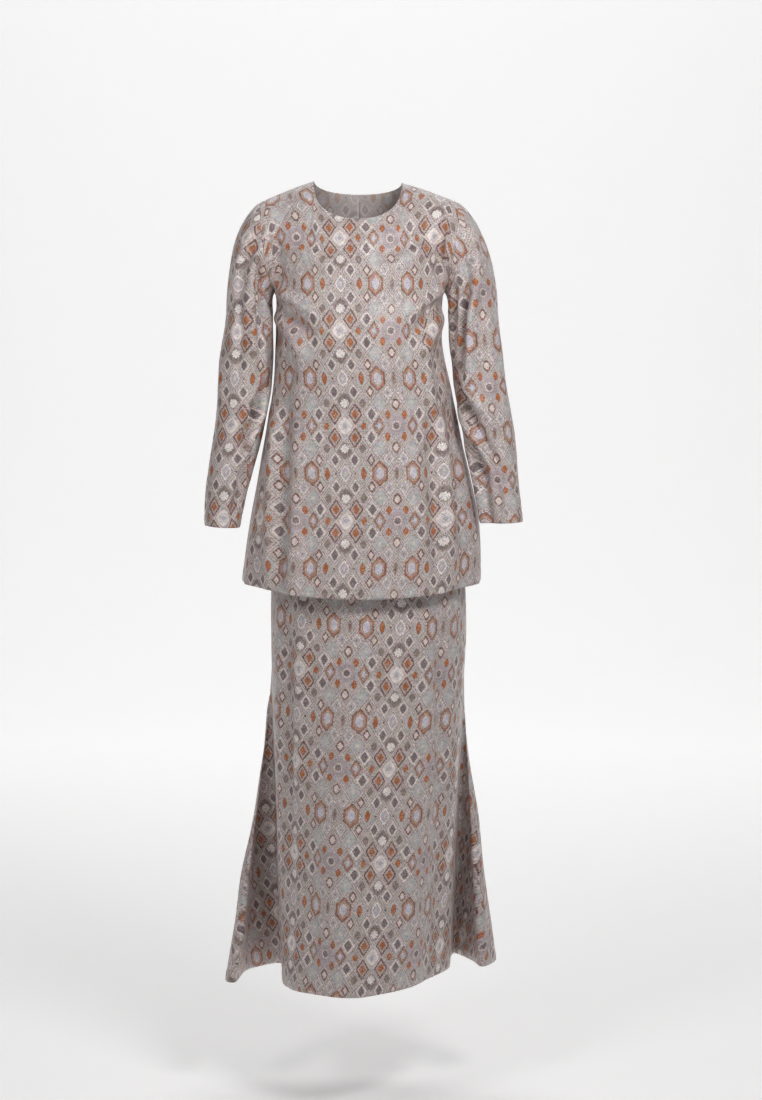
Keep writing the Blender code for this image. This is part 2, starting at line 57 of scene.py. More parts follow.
TUNIC_HEM_FRONT_Z = -0.654
TUNIC_HEM_SIDE_Z = -0.637
TUNIC_HEM_BACK_Z = -0.648
WAIST_Z = -0.342
FLUTE_START_Z = -0.715
SKIRT_HEM_Z = -1.300
SKIRT_HEM_RISE = 0.055   # the hem rises by this much for each metre to the right

# ---- neck, shoulders and armholes
NECK_MIDDLE_X = -0.005
NECK_HALF_WIDTH = 0.072
NECK_FRONT_DROP = 0.062
NECK_BACK_DROP = 0.019
NECK_FRONT_Y = -0.074
NECK_BACK_Y = 0.060
NECK_BACK_SQUARE = 2.2
NECK_POINT_FALL = 0.003  # the right neck point lies this much lower than the left
SHOULDER_CROWN = 0.002
SHOULDER_SHARE = 0.31    # share of a panel's width that each shoulder takes

# ---- how the columns of the upper tunic curve, as pulls at their two ends
SIDE_LEAN = 0.010
SIDE_RISE = 1.1
ARMHOLE_SPREAD = 0.16    # share of the width over which a column feels the armhole
ARMHOLE_REACH = 0.252    # pull of the armhole curve towards the front and the back
SHOULDER_BEND = 0.200
ARMHOLE_BEND = 0.262
SHOULDER_LIFT = 0.045
NECK_FRONT_PULL = 0.075
NECK_BACK_PULL = 0.050
NECK_BLEND = 0.25        # how soon beside the shoulder the neck's pull sets in

# ---- how the sleeve caps leave the armhole and turn down into the arm
CAP_SLOPE = Vector((0.116, 0.0, -0.077))
CAP_UNDERARM_SLOPE = 0.25
CAP_DROP = 0.22
CAP_UNDERARM_DROP = 0.030

# ---- skirt: turns count the rows of the flutes' table
RIGHT_SEAM_TURN = 8.5    # the side seams run down the flutes' outer crests
LEFT_SEAM_TURN = 17.0
FLUTE_SOFTNESS = 0.12    # how slowly the flutes set in below their start

# ---- fineness of the cloth
PANEL_COLUMNS = 128
UPPER_ROWS = 60
LOWER_ROWS = 116
SLEEVE_ROWS = 116
CAP_ROWS = 46
SKIRT_COLUMNS = 150
SKIRT_ROWS = 190
BAND_COLUMNS = 150
BAND_ROWS = 16
SLIT_ROWS = 45

# ---- cloth
CLOTH = 0.0008           # thickness that shows at hems and openings
BAND_CLOTH = 0.0020
TUNIC_HEM = 0.022        # turned up and blind stitched
SLEEVE_HEM = 0.018
SKIRT_HEM = 0.020
NECK_TURN = 0.007        # edge stitching of the neck
SLIT_OPEN = 0.0002       # how far each edge of the back slit stands off its middle
SLIT_TAPER = 0.030       # the slit opens over this much above its foot

# ---- how worn cloth leaves its smooth form: swells as pairs of a height and a size
TUNIC_SWELLS = ((0.0016, 0.055), (0.0007, 0.021))
SLEEVE_SWELLS = ((0.0016, 0.040), (0.0007, 0.018))
SKIRT_SWELLS = ((0.0018, 0.060), (0.0006, 0.024))
SWELL_STRETCH = 2.6      # swells are this much longer down the body than across it
SIDE_FADE = 0.020        # creases and swells fade out over this much beside a sewn edge
TOP_FADE = 0.022
SEAM_DEPTH = 0.0013
SKIRT_SEAM_DEPTH = 0.0010
SLIT_SEAM_DEPTH = 0.0007
SEAM_WIDTH = 0.0026
PUCKER_DEPTH = 0.0007
PUCKER_REACH = 0.011
PUCKER_ROWS = 8.0        # rows above the underarm over which the side's ripples set in
HEM_STEP = 0.00035
HEM_STEP_WIDTH = 0.003
STITCH_DEPTH = 0.00055
STITCH_WIDTH = 0.0016
EDGE_DEPTH = 0.0006
EDGE_WIDTH = 0.0012
GATHER_DEPTH = 0.0009
GATHER_REACH = 0.035
BAND_GATHER = 0.0006
BAND_STITCHES = (0.30, 0.62)  # rows of stitching through the elastic, as shares of its height
BAND_STITCH_WIDTH = 0.035
BAND_STITCH_PULL = 0.6
ARM_RADIUS = 0.045       # turns a sleeve's bearings into metres for its creases
SEAM_RADIUS = 0.055      # and for the ripples round its armhole

# Two waves laid over each other, in radians a metre, so that ripples come unevenly.
Waves = namedtuple("Waves", "first second share start")
SEAM_WAVES = Waves(420.0, 265.0, 0.6, 1.3)
GATHER_WAVES = Waves(330.0, 205.0, 0.5, 0.7)
BAND_WAVES = Waves(690.0, 455.0, 0.5, 1.0)

# ---- where a heart of the print sits on each piece: the place nearest this x and z
FRONT_HEART = (-0.028, -0.379)
BACK_HEART = (0.0, -0.379)
LEFT_SLEEVE_HEART = (-0.2025, -0.226)
RIGHT_SLEEVE_HEART = (0.211 - 0.0826, -0.323)  # off the sleeve, so its inner edge is taken
SKIRT_FRONT_HEART = (0.055, -0.778)
SKIRT_BACK_HEART = (0.0, -0.778)
SKIRT_FRONT_LEAN = -3.0  # degrees by which the print leans on the skirt's front

# ---- stage and camera
FLOOR_Z = -1.505
FLOOR_SIZE = (16.0, 12.0, 1.0)
WALL_HEIGHT = 7.0
SWEEP_RADIUS = 2.5
SWEEP_STEPS = 16
PAPER_GLOW = 0.235
AIR_STRENGTH = 0.08
LENS_MM = 87.3
LENS_SHIFT = 0.0182
CAMERA_PLACE = (0.0, -4.4, -0.18)
CAMERA_AIM = (0.0, 0.0, -0.588)

Light = namedtuple("Light", "name place aim size power")
LIGHTS = (
    Light("key_softbox", (0.72, -1.30, 0.60), (0.0, 0.0, -0.12), (0.6, 0.4), 16.5),
    Light("fill_softbox", (-0.90, -1.35, 0.50), (0.0, 0.0, -0.18), (0.5, 0.5), 8.0),
    Light("backdrop_bank", (0.0, 3.2, 3.4), (0.0, 3.8, 0.0), (7.0, 2.0), 150.0),
)

TunicRing = namedtuple("TunicRing", "name z left right front back square")
TUNIC_RINGS = [TunicRing(*row) for row in (
    ("underarm", -0.161, -0.1390, 0.1345, 0.112, 0.112, 2.35),
    ("bust", -0.242, -0.1405, 0.1330, 0.128, 0.108, 2.30),
    ("waist", -0.344, -0.1460, 0.1535, 0.123, 0.105, 2.20),
    ("high_hip", -0.416, -0.1610, 0.1685, 0.129, 0.117, 2.15),
    ("hip", -0.477, -0.1720, 0.1830, 0.137, 0.130, 2.10),
    ("low_hip", -0.537, -0.1830, 0.1945, 0.144, 0.140, 2.10),
    ("thigh", -0.586, -0.1905, 0.1980, 0.150, 0.146, 2.10),
    ("hem", -0.640, -0.1965, 0.1985, 0.155, 0.151, 2.10),
)]

# A soft fold stands out from the tunic's ring by its height at the hem, and fades
# to nothing at its start.  Turns go from the left side seam through the front.
Fold = namedtuple("Fold", "name turn half_turn height start_z")
TUNIC_FOLDS = [Fold(*row) for row in (
    ("left_side", 0.055, 0.030, 0.005, -0.40),
    ("left_hollow", 0.110, 0.035, -0.006, -0.42),
    ("left_front", 0.165, 0.040, 0.004, -0.46),
    ("right_front", 0.345, 0.040, 0.004, -0.38),
    ("right_hollow", 0.400, 0.035, -0.006, -0.36),
    ("right_side", 0.452, 0.030, 0.005, -0.40),
    ("back_right", 0.585, 0.040, -0.007, -0.36),
    ("back_right_ridge", 0.650, 0.045, 0.006, -0.42),
    ("back_middle", 0.765, 0.050, -0.006, -0.34),
    ("back_left_ridge", 0.845, 0.040, 0.006, -0.40),
    ("back_left", 0.915, 0.035, -0.007, -0.38),
)]

Arm = namedtuple("Arm", "side tip_x neck_square armhole_bow")
ARMS = (
    Arm("left", -0.1655, 2.6, -0.050),
    Arm("right", 0.1590, 2.2, 0.038),
)

SleeveRing = namedtuple("SleeveRing", "name z outer inner half_depth y tilt")
LEFT_SLEEVE = [SleeveRing(*row) for row in (
    ("under_cap", -0.195, -0.2215, -0.1450, 0.058, -0.002, 0.02),
    ("upper_arm", -0.245, -0.2275, -0.1452, 0.055, -0.004, 0.05),
    ("above_elbow", -0.310, -0.2330, -0.1480, 0.051, -0.008, 0.06),
    ("elbow", -0.360, -0.2365, -0.1545, 0.049, -0.014, 0.09),
    ("below_elbow", -0.410, -0.2435, -0.1660, 0.046, -0.022, 0.12),
    ("forearm", -0.465, -0.2515, -0.1815, 0.043, -0.032, 0.12),
    ("wrist", -0.507, -0.2560, -0.1910, 0.040, -0.041, 0.09),
    ("cuff", -0.544, -0.2555, -0.1980, 0.038, -0.048, 0.06),
)]
RIGHT_SLEEVE = [SleeveRing(*row) for row in (
    ("under_cap", -0.195, 0.2245, 0.1430, 0.057, -0.002, 0.02),
    ("upper_arm", -0.245, 0.2305, 0.1465, 0.055, -0.004, 0.05),
    ("above_elbow", -0.310, 0.2380, 0.1525, 0.051, -0.008, 0.06),
    ("elbow", -0.352, 0.2445, 0.1605, 0.049, -0.014, 0.09),
    ("below_elbow", -0.392, 0.2505, 0.1715, 0.046, -0.022, 0.12),
    ("forearm", -0.433, 0.2550, 0.1830, 0.043, -0.030, 0.10),
    ("wrist", -0.477, 0.2595, 0.1920, 0.040, -0.039, 0.06),
    ("cuff", -0.537, 0.2640, 0.2010, 0.038, -0.048, 0.02),
)]

SkirtRing = namedtuple("SkirtRing", "name z left right front back")
SKIRT_RINGS = [SkirtRing(*row) for row in (
    ("waist", -0.342, -0.1120, 0.1250, 0.092, 0.090),
    ("high_hip", -0.430, -0.1320, 0.1480, 0.112, 0.114),
    ("hip", -0.540, -0.1460, 0.1660, 0.126, 0.130),
    ("thigh", -0.660, -0.1495, 0.1735, 0.131, 0.134),
    ("knee", -0.780, -0.1500, 0.1735, 0.133, 0.134),
    ("hem", -1.300, -0.1500, 0.1735, 0.140, 0.140),
)]

# Where the skirt's hem stands: a crest or a hollow in each row, with its bearing on
# the plain ring (front 270, right 0, back 90 degrees) and its place at the hem.
Flute = namedtuple("Flute", "name bearing x y")
SKIRT_FLUTES = [Flute(*row) for row in (
    ("front_middle", 270.0, -0.005, -0.170),
    ("front_right", 305.0, 0.068, -0.131),
    ("right_turn", 325.0, 0.112, -0.070),
    ("right_edge", 341.0, 0.147, -0.012),
    ("right_wall", 352.0, 0.151, 0.040),
    ("right_recess", 2.0, 0.160, 0.094),
    ("right_flute_face", 11.0, 0.186, 0.040),
    ("right_flute_front", 18.0, 0.205, -0.008),
    ("right_flute_tip", 27.0, 0.229, 0.040),
    ("right_flute_rear", 38.0, 0.196, 0.112),
    ("back_right_hollow", 52.0, 0.122, 0.128),
    ("back_right_crest", 67.0, 0.088, 0.196),
    ("back_middle_right", 82.0, 0.030, 0.160),
    ("back_crest", 97.0, -0.026, 0.192),
    ("back_left_hollow", 112.0, -0.076, 0.146),
    ("back_left_crest", 127.0, -0.128, 0.178),
    ("left_flute_rear", 142.0, -0.180, 0.120),
    ("left_flute_tip", 153.0, -0.227, 0.010),
    ("left_flute_front", 161.0, -0.212, -0.025),
    ("left_flute_face", 169.0, -0.196, 0.050),
    ("left_recess", 178.0, -0.142, 0.090),
    ("left_wall", 188.0, -0.128, 0.030),
    ("left_edge", 199.0, -0.130, -0.040),
    ("left_turn", 213.0, -0.112, -0.098),
    ("front_left", 236.0, -0.068, -0.140),
)]

def mix(first, second, share):
    return first * (1.0 - share) + second * share


def ease(share):
    """Zero to one with a soft start and end."""
    share = min(max(share, 0.0), 1.0)
    return share * share * (3.0 - 2.0 * share)


def spline(before, start, end, after, share):
    """A smooth curve through four values, read between the middle two."""
    slope_in = (end - before) * 0.5
    slope_out = (after - start) * 0.5
    return hermite(start, slope_in, end, slope_out, share)


def hermite(start, slope_in, end, slope_out, share):
    """A curve between two values that leaves and arrives with the given slopes."""
    cube = share ** 3
    square = share ** 2
    return (start * (2.0 * cube - 3.0 * square + 1.0) + slope_in * (cube - 2.0 * square + share)
            + end * (3.0 * square - 2.0 * cube) + slope_out * (cube - square))


def read(rows, column, z):
    """A column of a table whose rows go down, at a height between its rows."""
    values = [getattr(row, column) for row in rows]
    if z >= rows[0].z:
        return values[0]
    if z <= rows[-1].z:
        return values[-1]
    at = next(i for i in range(len(rows) - 1) if rows[i + 1].z <= z)
    share = (rows[at].z - z) / (rows[at].z - rows[at + 1].z)
    before = values[max(at - 1, 0)]
    after = values[min(at + 2, len(rows) - 1)]
    return spline(before, values[at], values[at + 1], after, share)


def arch(value, square):
    """A signed power that squares up an ellipse's cosine or sine."""
    return math.copysign(abs(value) ** (2.0 / square), value)


# ---- the tunic's surface

def fold_height(turn, z):
    """How far the soft folds move the tunic's ring outwards."""
    total = 0.0
    for fold in TUNIC_FOLDS:
        apart = abs((turn - fold.turn + 0.5) % 1.0 - 0.5) / fold.half_turn
        if apart < 1.0 and z < fold.start_z:
            grown = (fold.start_z - z) / (fold.start_z - TUNIC_HEM_FRONT_Z)
            total += fold.height * ease(1.0 - apart) * grown
    return total


def tunic_hem_z(turn):
    """The hem is lowest in front and rises at the sides."""
    side = abs(math.cos(2.0 * math.pi * turn)) ** 2
    middle = TUNIC_HEM_FRONT_Z if turn < 0.5 else TUNIC_HEM_BACK_Z
    return mix(middle, TUNIC_HEM_SIDE_Z, side)


def tunic_ring(turn, z):
    """A point of the tunic below the underarm: turn 0 left side, 0.25 front."""
    angle = math.pi * (1.0 + 2.0 * turn)
    square = read(TUNIC_RINGS, "square", z)
    left = read(TUNIC_RINGS, "left", z)
    right = read(TUNIC_RINGS, "right", z)
    across = arch(math.cos(angle), square)
    deep = arch(math.sin(angle), square)
    depth = read(TUNIC_RINGS, "front" if deep < 0.0 else "back", z)
    swell = fold_height(turn, z)
    half = (right - left) * 0.5 + swell
    return Vector(((left + right) * 0.5 + half * across, (depth + swell) * deep, z))


def neck_edge(share, front):
    """A point on the neckline: share 0 at the left neck point, 1 at the right."""
    angle = math.pi * share
    square = mix(ARMS[0].neck_square, ARMS[1].neck_square, share) if front else NECK_BACK_SQUARE
    across = -arch(math.cos(angle), square)
    down = arch(math.sin(angle), square)
    drop = NECK_FRONT_DROP if front else NECK_BACK_DROP
    reach = NECK_FRONT_Y if front else NECK_BACK_Y
    height = NECK_POINT_Z - NECK_POINT_FALL * share - drop * down
    return Vector((NECK_MIDDLE_X + NECK_HALF_WIDTH * across, reach * down, height))


def shoulder_edge(share, arm):
    """A point on a shoulder seam: share 0 at the tip, 1 at the neck."""
    neck_x = NECK_MIDDLE_X + math.copysign(NECK_HALF_WIDTH, arm.tip_x)
    neck_z = NECK_POINT_Z - (NECK_POINT_FALL if arm.side == "right" else 0.0)
    x = mix(arm.tip_x, neck_x, share)
    z = mix(SHOULDER_TIP_Z, neck_z, share) + SHOULDER_CROWN * math.sin(math.pi * share)
    return Vector((x, 0.0, z))


def top_edge(across, front):
    """The upper edge of a panel: left shoulder, neckline, right shoulder."""
    if across < SHOULDER_SHARE:
        return shoulder_edge(across / SHOULDER_SHARE, ARMS[0])
    if across > 1.0 - SHOULDER_SHARE:
        return shoulder_edge((1.0 - across) / SHOULDER_SHARE, ARMS[1])
    return neck_edge((across - SHOULDER_SHARE) / (1.0 - 2.0 * SHOULDER_SHARE), front)


def tunic_upper(across, up, front):
    """A point of the tunic above the underarm: up 0 at the underarm, 1 at the edge."""
    way = -1.0 if front else 1.0
    arm = ARMS[0] if across < 0.5 else ARMS[1]
    turn = across * 0.5 if front else 1.0 - across * 0.5
    foot = tunic_ring(turn % 1.0, UNDERARM_Z)
    head = top_edge(across, front)
    rise = head.z - foot.z
    from_side = min(across, 1.0 - across)
    at_armhole = max(0.0, 1.0 - from_side / ARMHOLE_SPREAD) ** 2
    in_neck = ease((from_side - SHOULDER_SHARE) / (0.5 - SHOULDER_SHARE) + NECK_BLEND)
    start = Vector((0.0, SIDE_LEAN * -way, rise * SIDE_RISE))
    start = mix(start, Vector((arm.armhole_bow, way * ARMHOLE_REACH, 0.0)), at_armhole)
    bend = mix(SHOULDER_BEND, ARMHOLE_BEND, at_armhole)
    shoulder_end = Vector((0.0, -way * bend, SHOULDER_LIFT * (1.0 - at_armhole)))
    neck_end = Vector((0.0, -way * (NECK_FRONT_PULL if front else NECK_BACK_PULL), rise))
    end = mix(shoulder_end, neck_end, in_neck)
    return hermite(foot, start, head, end, up)


def tunic_panel(front):
    """The grid of a front or back panel: rows upwards, columns anticlockwise from above."""
    rows = []
    for row in range(LOWER_ROWS):
        share = row / LOWER_ROWS
        line = []
        for column in range(PANEL_COLUMNS + 1):
            turn = (0.5 * column / PANEL_COLUMNS + (0.0 if front else 0.5)) % 1.0
            line.append(tunic_ring(turn, mix(tunic_hem_z(turn), UNDERARM_Z, share)))
        rows.append(line)
    for row in range(UPPER_ROWS + 1):
        line = []
        for column in range(PANEL_COLUMNS + 1):
            across = column / PANEL_COLUMNS
            line.append(tunic_upper(across if front else 1.0 - across, row / UPPER_ROWS, front))
        rows.append(line)
    return rows


# ---- the sleeves' surface

def sleeve_ring(rings, bearing, z):
    """A point of a sleeve: bearing 0 on the inner side, pi on the outer side."""
    outer = read(rings, "outer", z)
    inner = read(rings, "inner", z)
    along = (inner - outer) * 0.5 * math.cos(bearing)
    tilt = read(rings, "tilt", z) * (-1.0 if inner > outer else 1.0)
    deep = read(rings, "half_depth", z) * math.sin(bearing)
    return Vector(((inner + outer) * 0.5 + along, read(rings, "y", z) + deep, z + tilt * along))


def armhole_ring(arm):
    """The armhole from the underarm over the back to the tip and down the front."""
    across = 0.0 if arm.side == "left" else 1.0
    back = [tunic_upper(across, row / UPPER_ROWS, False) for row in range(UPPER_ROWS + 1)]
    front = [tunic_upper(across, row / UPPER_ROWS, True) for row in range(UPPER_ROWS - 1, 0, -1)]
    return back + front


def sleeve(arm, rings):
    """The grid of a sleeve: rows upwards from the cuff, the first column on the underarm."""
    hole = armhole_ring(arm)
    count = len(hole)
    out = math.copysign(1.0, arm.tip_x)
    cap_z = rings[0].z
    rows = []
    for row in range(SLEEVE_ROWS):
        z = mix(rings[-1].z, cap_z, row / SLEEVE_ROWS)
        rows.append([sleeve_ring(rings, 2.0 * math.pi * k / count, z) for k in range(count)])
    for row in range(CAP_ROWS + 1):
        line = []
        for k in range(count):
            bearing = 2.0 * math.pi * k / count
            height = 0.5 - 0.5 * math.cos(bearing)
            leave = Vector((out * CAP_SLOPE.x, 0.0, CAP_SLOPE.z))
            leave *= mix(CAP_UNDERARM_SLOPE, 1.0, height)
            arrive = Vector((0.0, 0.0, -mix(CAP_UNDERARM_DROP, CAP_DROP, height)))
            down = 1.0 - row / CAP_ROWS
            line.append(hermite(hole[k], leave, sleeve_ring(rings, bearing, cap_z), arrive, down))
        rows.append(line)
    if arm.side == "right":
        rows = [[line[0]] + line[:0:-1] for line in rows]
    return rows


# ---- the skirt's surface

def skirt_plain(bearing, z):
    """A point of the skirt's smooth ring, as if it hung straight."""
    angle = math.radians(bearing)
    left = read(SKIRT_RINGS, "left", z)
    right = read(SKIRT_RINGS, "right", z)
    depth = read(SKIRT_RINGS, "front" if math.sin(angle) < 0.0 else "back", z)
    x = (left + right) * 0.5 + (right - left) * 0.5 * math.cos(angle)
    return Vector((x, depth * math.sin(angle), z))


def flute_at(turn):
    """Bearing and hem place on the smooth line through the flutes; whole turns are rows."""
    count = len(SKIRT_FLUTES)
    at = int(math.floor(turn)) % count
    share = turn - math.floor(turn)
    four = [SKIRT_FLUTES[(at + step) % count] for step in (-1, 0, 1, 2)]
    bearings = [four[1].bearing + ((f.bearing - four[1].bearing + 180.0) % 360.0 - 180.0) for f in four]
    x = spline(*[f.x for f in four], share)
    y = spline(*[f.y for f in four], share)
    return spline(*bearings, share), x, y


def skirt_ring(turn, share):
    """A point of the skirt: turn counts the flutes' rows, share 0 at the hem, 1 at the waist."""
    bearing, hem_x, hem_y = flute_at(turn)
    hem_z = SKIRT_HEM_Z + SKIRT_HEM_RISE * hem_x
    z = mix(hem_z, WAIST_Z, share)
    plain = skirt_plain(bearing, z)
    fall = max(0.0, (FLUTE_START_Z - z) / (FLUTE_START_Z - hem_z))
    grown = fall * fall * (1.0 + FLUTE_SOFTNESS) / (fall + FLUTE_SOFTNESS)
    return Vector((mix(plain.x, hem_x, grown), mix(plain.y, hem_y, grown), z))


def skirt_panel(front):
    """The grid of the front or the back of the skirt: rows upwards."""
    rows_of_flutes = len(SKIRT_FLUTES)
    start = LEFT_SEAM_TURN - rows_of_flutes if front else RIGHT_SEAM_TURN
    end = RIGHT_SEAM_TURN if front else LEFT_SEAM_TURN
    rows = []
    for row in range(SKIRT_ROWS + 1):
        share = row / SKIRT_ROWS
        columns = range(SKIRT_COLUMNS + 1)
        rows.append([skirt_ring(mix(start, end, c / SKIRT_COLUMNS), share) for c in columns])
    return rows


# ---- creases, placed on each piece in its own sizes

# A crease runs between two places.  On the body they are x and z; on a sleeve they
# are the bearing in degrees (0 inner, 90 back, 180 outer, 270 front) and z.  The rows
# below give x and z in millimetres, and half width and height in tenths of one.
Crease = namedtuple("Crease", "from_a from_z to_a to_z half_width height")


def crease_table(rows, a_scale=1000.0):
    """The rows' creases in metres; an a_scale of 1 leaves their bearings in degrees."""
    scales = (a_scale, 1000.0, a_scale, 1000.0, 10000.0, 10000.0)
    return [Crease(*(value / scale for value, scale in zip(row, scales))) for row in rows]


FRONT_CREASES = crease_table((
    (-136, -160, -62, -206, 88, 105),
    (-137, -178, -78, -236, 88, -99),
    (-138, -200, -94, -266, 88, 78),
    (-138, -222, -110, -300, 88, -74),
    (-150, -70, -144, -150, 66, 82),
    (-140, -60, -134, -152, 77, -78),
    (131, -158, 78, -198, 88, 95),
    (132, -176, 80, -230, 88, -92),
    (132, -200, 96, -266, 88, 69),
    (142, -66, 136, -148, 66, 78),
    (132, -56, 127, -142, 77, -74),
    (-119, -262, -127, -420, 110, -74),
    (-138, -350, -150, -640, 99, 134),
    (-124, -400, -131, -640, 110, -112),
    (-102, -380, -112, -640, 131, 61),
    (-80, -470, -90, -645, 164, -57),
    (122, -250, 136, -400, 110, -86),
    (106, -245, 118, -370, 110, 65),
    (148, -340, 168, -560, 110, -125),
    (130, -340, 146, -600, 110, 112),
    (112, -380, 124, -610, 120, -78),
    (86, -430, 94, -630, 153, 48),
    (-30, -330, -40, -560, 286, -44),
    (45, -340, 55, -600, 286, 44),
    (-112, -66, -30, -104, 153, -74),
    (-104, -92, -36, -128, 142, 48),
    (108, -64, 30, -106, 153, -74),
    (100, -92, 40, -126, 142, 48),
))

BACK_CREASES = crease_table((
    (-133, -165, -70, -200, 95, 66),
    (-135, -185, -78, -238, 95, -62),
    (-136, -215, -90, -270, 95, 43),
    (129, -162, 66, -205, 95, 66),
    (130, -184, 78, -232, 95, -56),
    (131, -212, 92, -262, 95, 43),
    (-90, -330, -20, -352, 105, 56),
    (-80, -352, 30, -366, 115, -59),
    (95, -326, 20, -346, 105, 53),
    (88, -350, 34, -372, 105, -43),
    (-118, -370, -135, -630, 115, -74),
    (-92, -410, -104, -640, 115, 53),
    (-60, -400, -72, -640, 147, 62),
    (10, -500, 12, -640, 147, -32),
    (66, -390, 84, -640, 147, 66),
    (120, -370, 142, -620, 115, -74),
    (-56, -50, -60, -190, 147, -37),
    (52, -50, 56, -180, 147, -37),
))

LEFT_SLEEVE_CREASES = crease_table((
    (336, -240, 338, -350, 120, 36),
    (322, -90, 334, -190, 80, -104),
    (262, -52, 250, -160, 71, -89),
    (246, -60, 232, -165, 83, 59),
    (282, -60, 262, -215, 71, 68),
    (292, -70, 300, -250, 71, -106),
    (280, -100, 290, -290, 83, 79),
    (308, -80, 318, -225, 71, -96),
    (318, -100, 330, -250, 71, 76),
    (302, -210, 322, -330, 83, 59),
    (250, -165, 258, -300, 95, -68),
    (330, -300, 296, -372, 83, -89),
    (318, -318, 280, -425, 83, -110),
    (330, -345, 294, -440, 83, 89),
    (300, -318, 258, -395, 95, 62),
    (338, -385, 305, -470, 83, -76),
    (318, -440, 302, -535, 95, -68),
    (292, -430, 276, -530, 107, 49),
    (120, -320, 60, -352, 107, 72),
    (140, -350, 70, -372, 107, -72),
    (120, -380, 60, -405, 107, 62),
    (80, -70, 62, -210, 95, -83),
    (100, -70, 92, -240, 95, 68),
    (60, -110, 40, -260, 95, 66),
    (200, -250, 215, -380, 119, 40),
    (100, -440, 120, -530, 119, -49),
), 1.0)

RIGHT_SLEEVE_CREASES = crease_table((
    (341, -385, 339, -560, 140, 112),
    (318, -420, 312, -540, 90, -85),
    (292, -180, 310, -262, 71, -85),
    (236, -40, 268, -100, 71, -93),
    (268, -100, 292, -190, 71, -100),
    (226, -60, 276, -190, 83, 76),
    (296, -160, 312, -300, 71, -106),
    (276, -180, 300, -310, 95, 79),
    (316, -100, 332, -250, 71, -85),
    (326, -120, 342, -270, 71, 68),
    (250, -180, 262, -300, 107, -49),
    (334, -310, 300, -368, 83, -83),
    (330, -326, 262, -452, 83, -113),
    (342, -350, 278, -455, 83, 89),
    (318, -305, 258, -380, 95, 66),
    (340, -395, 300, -470, 83, -83),
    (262, -455, 250, -530, 119, -59),
    (296, -450, 284, -530, 107, 45),
    (120, -315, 60, -346, 107, 72),
    (140, -345, 70, -366, 107, -72),
    (120, -374, 60, -400, 107, 62),
    (80, -70, 62, -210, 95, -83),
    (100, -70, 92, -240, 95, 68),
    (60, -110, 40, -260, 95, 66),
    (205, -240, 220, -360, 119, 40),
    (100, -440, 120, -525, 119, -49),
), 1.0)

SKIRT_FRONT_CREASES = crease_table((
    (-96, -640, -100, -980, 133, 50),
    (-120, -680, -114, -1240, 95, -60),
    (-136, -700, -131, -1280, 66, 50),
    (52, -660, 60, -1050, 190, -47),
    (104, -640, 112, -1010, 133, 60),
    (130, -700, 126, -1200, 95, -64),
    (-30, -820, -44, -1290, 266, 58),
    (30, -980, 26, -1295, 209, -64),
    (82, -980, 84, -1290, 171, 60),
    (-86, -1020, -84, -1290, 152, -47),
    (-190, -960, -204, -1300, 76, 50),
    (190, -980, 204, -1290, 76, 47),
))

SKIRT_BACK_CREASES = crease_table((
    (-60, -600, -70, -900, 180, 45),
    (70, -600, 78, -900, 180, 45),
    (0, -640, 4, -1000, 180, -45),
    (-100, -700, -120, -1150, 160, -48),
    (110, -700, 130, -1150, 160, -48),
    (44, -960, 52, -1290, 160, 42),
    (-48, -980, -56, -1290, 160, 42),
))


def crease_height(creases, a, z, a_metres=1.0):
    """Sum of the creases at a place; a_metres turns the first measure into metres."""
    total = 0.0
    for crease in creases:
        run_a = (crease.to_a - crease.from_a) * a_metres
        run_z = crease.to_z - crease.from_z
        off_a = (a - crease.from_a) * a_metres
        off_z = z - crease.from_z
        length = math.hypot(run_a, run_z)
        along = (off_a * run_a + off_z * run_z) / length
        aside = abs(off_a * run_z - off_z * run_a) / length
        share = along / length
        if aside > 3.0 * crease.half_width or not -0.25 < share < 1.25:
            continue
        taper = ease((share + 0.20) / 0.45) * ease((1.20 - share) / 0.45)
        total += crease.height * taper * math.exp(-(aside / crease.half_width) ** 2)
    return total


def unevenness(point, swells):
    """Slow, soft swells of worn cloth."""
    total = 0.0
    for amount, size in swells:
        place = Vector((point.x / size, point.y / size, point.z / (size * SWELL_STRETCH)))
        total += amount * noise.noise(place)
    return total


def ripples(along, waves):
    return math.sin(along * waves.first) + waves.share * math.sin(along * waves.second + waves.start)


def seam_groove(distance, depth=SEAM_DEPTH):
    return -depth * math.exp(-(distance / SEAM_WIDTH) ** 2)


def seam_pucker(distance, along):
    """Short ripples where the seam draws the cloth in."""
    return PUCKER_DEPTH * ripples(along, SEAM_WAVES) * math.exp(-distance / PUCKER_REACH)


def waist_gathers(across, below):
    """Small gathers under the elastic, gone a hand's width below it."""
    return GATHER_DEPTH * ripples(across, GATHER_WAVES) * math.exp(-below / GATHER_REACH)


def hem_height(distance, turning):
    """The doubled cloth of a hem, and the faint line of its blind stitches."""
    doubled = HEM_STEP * ease((turning + 0.5 * HEM_STEP_WIDTH - distance) / HEM_STEP_WIDTH)
    stitched = -STITCH_DEPTH * math.exp(-((distance - turning) / STITCH_WIDTH) ** 2)
    edge = -EDGE_DEPTH * math.exp(-(distance / EDGE_WIDTH) ** 2)
    return doubled + stitched + edge


def height_grid(rows, height):
    """What a function of row, column and point gives at each point of a grid."""
    return [[height(row, column, point) for column, point in enumerate(line)]
            for row, line in enumerate(rows)]


# ---- flat measures of a grid, for the print and the hems

def arc_lengths(points):
    """Running length along a row of points."""
    total = [0.0]
    for first, second in zip(points, points[1:]):
        total.append(total[-1] + (second - first).length)
    return total


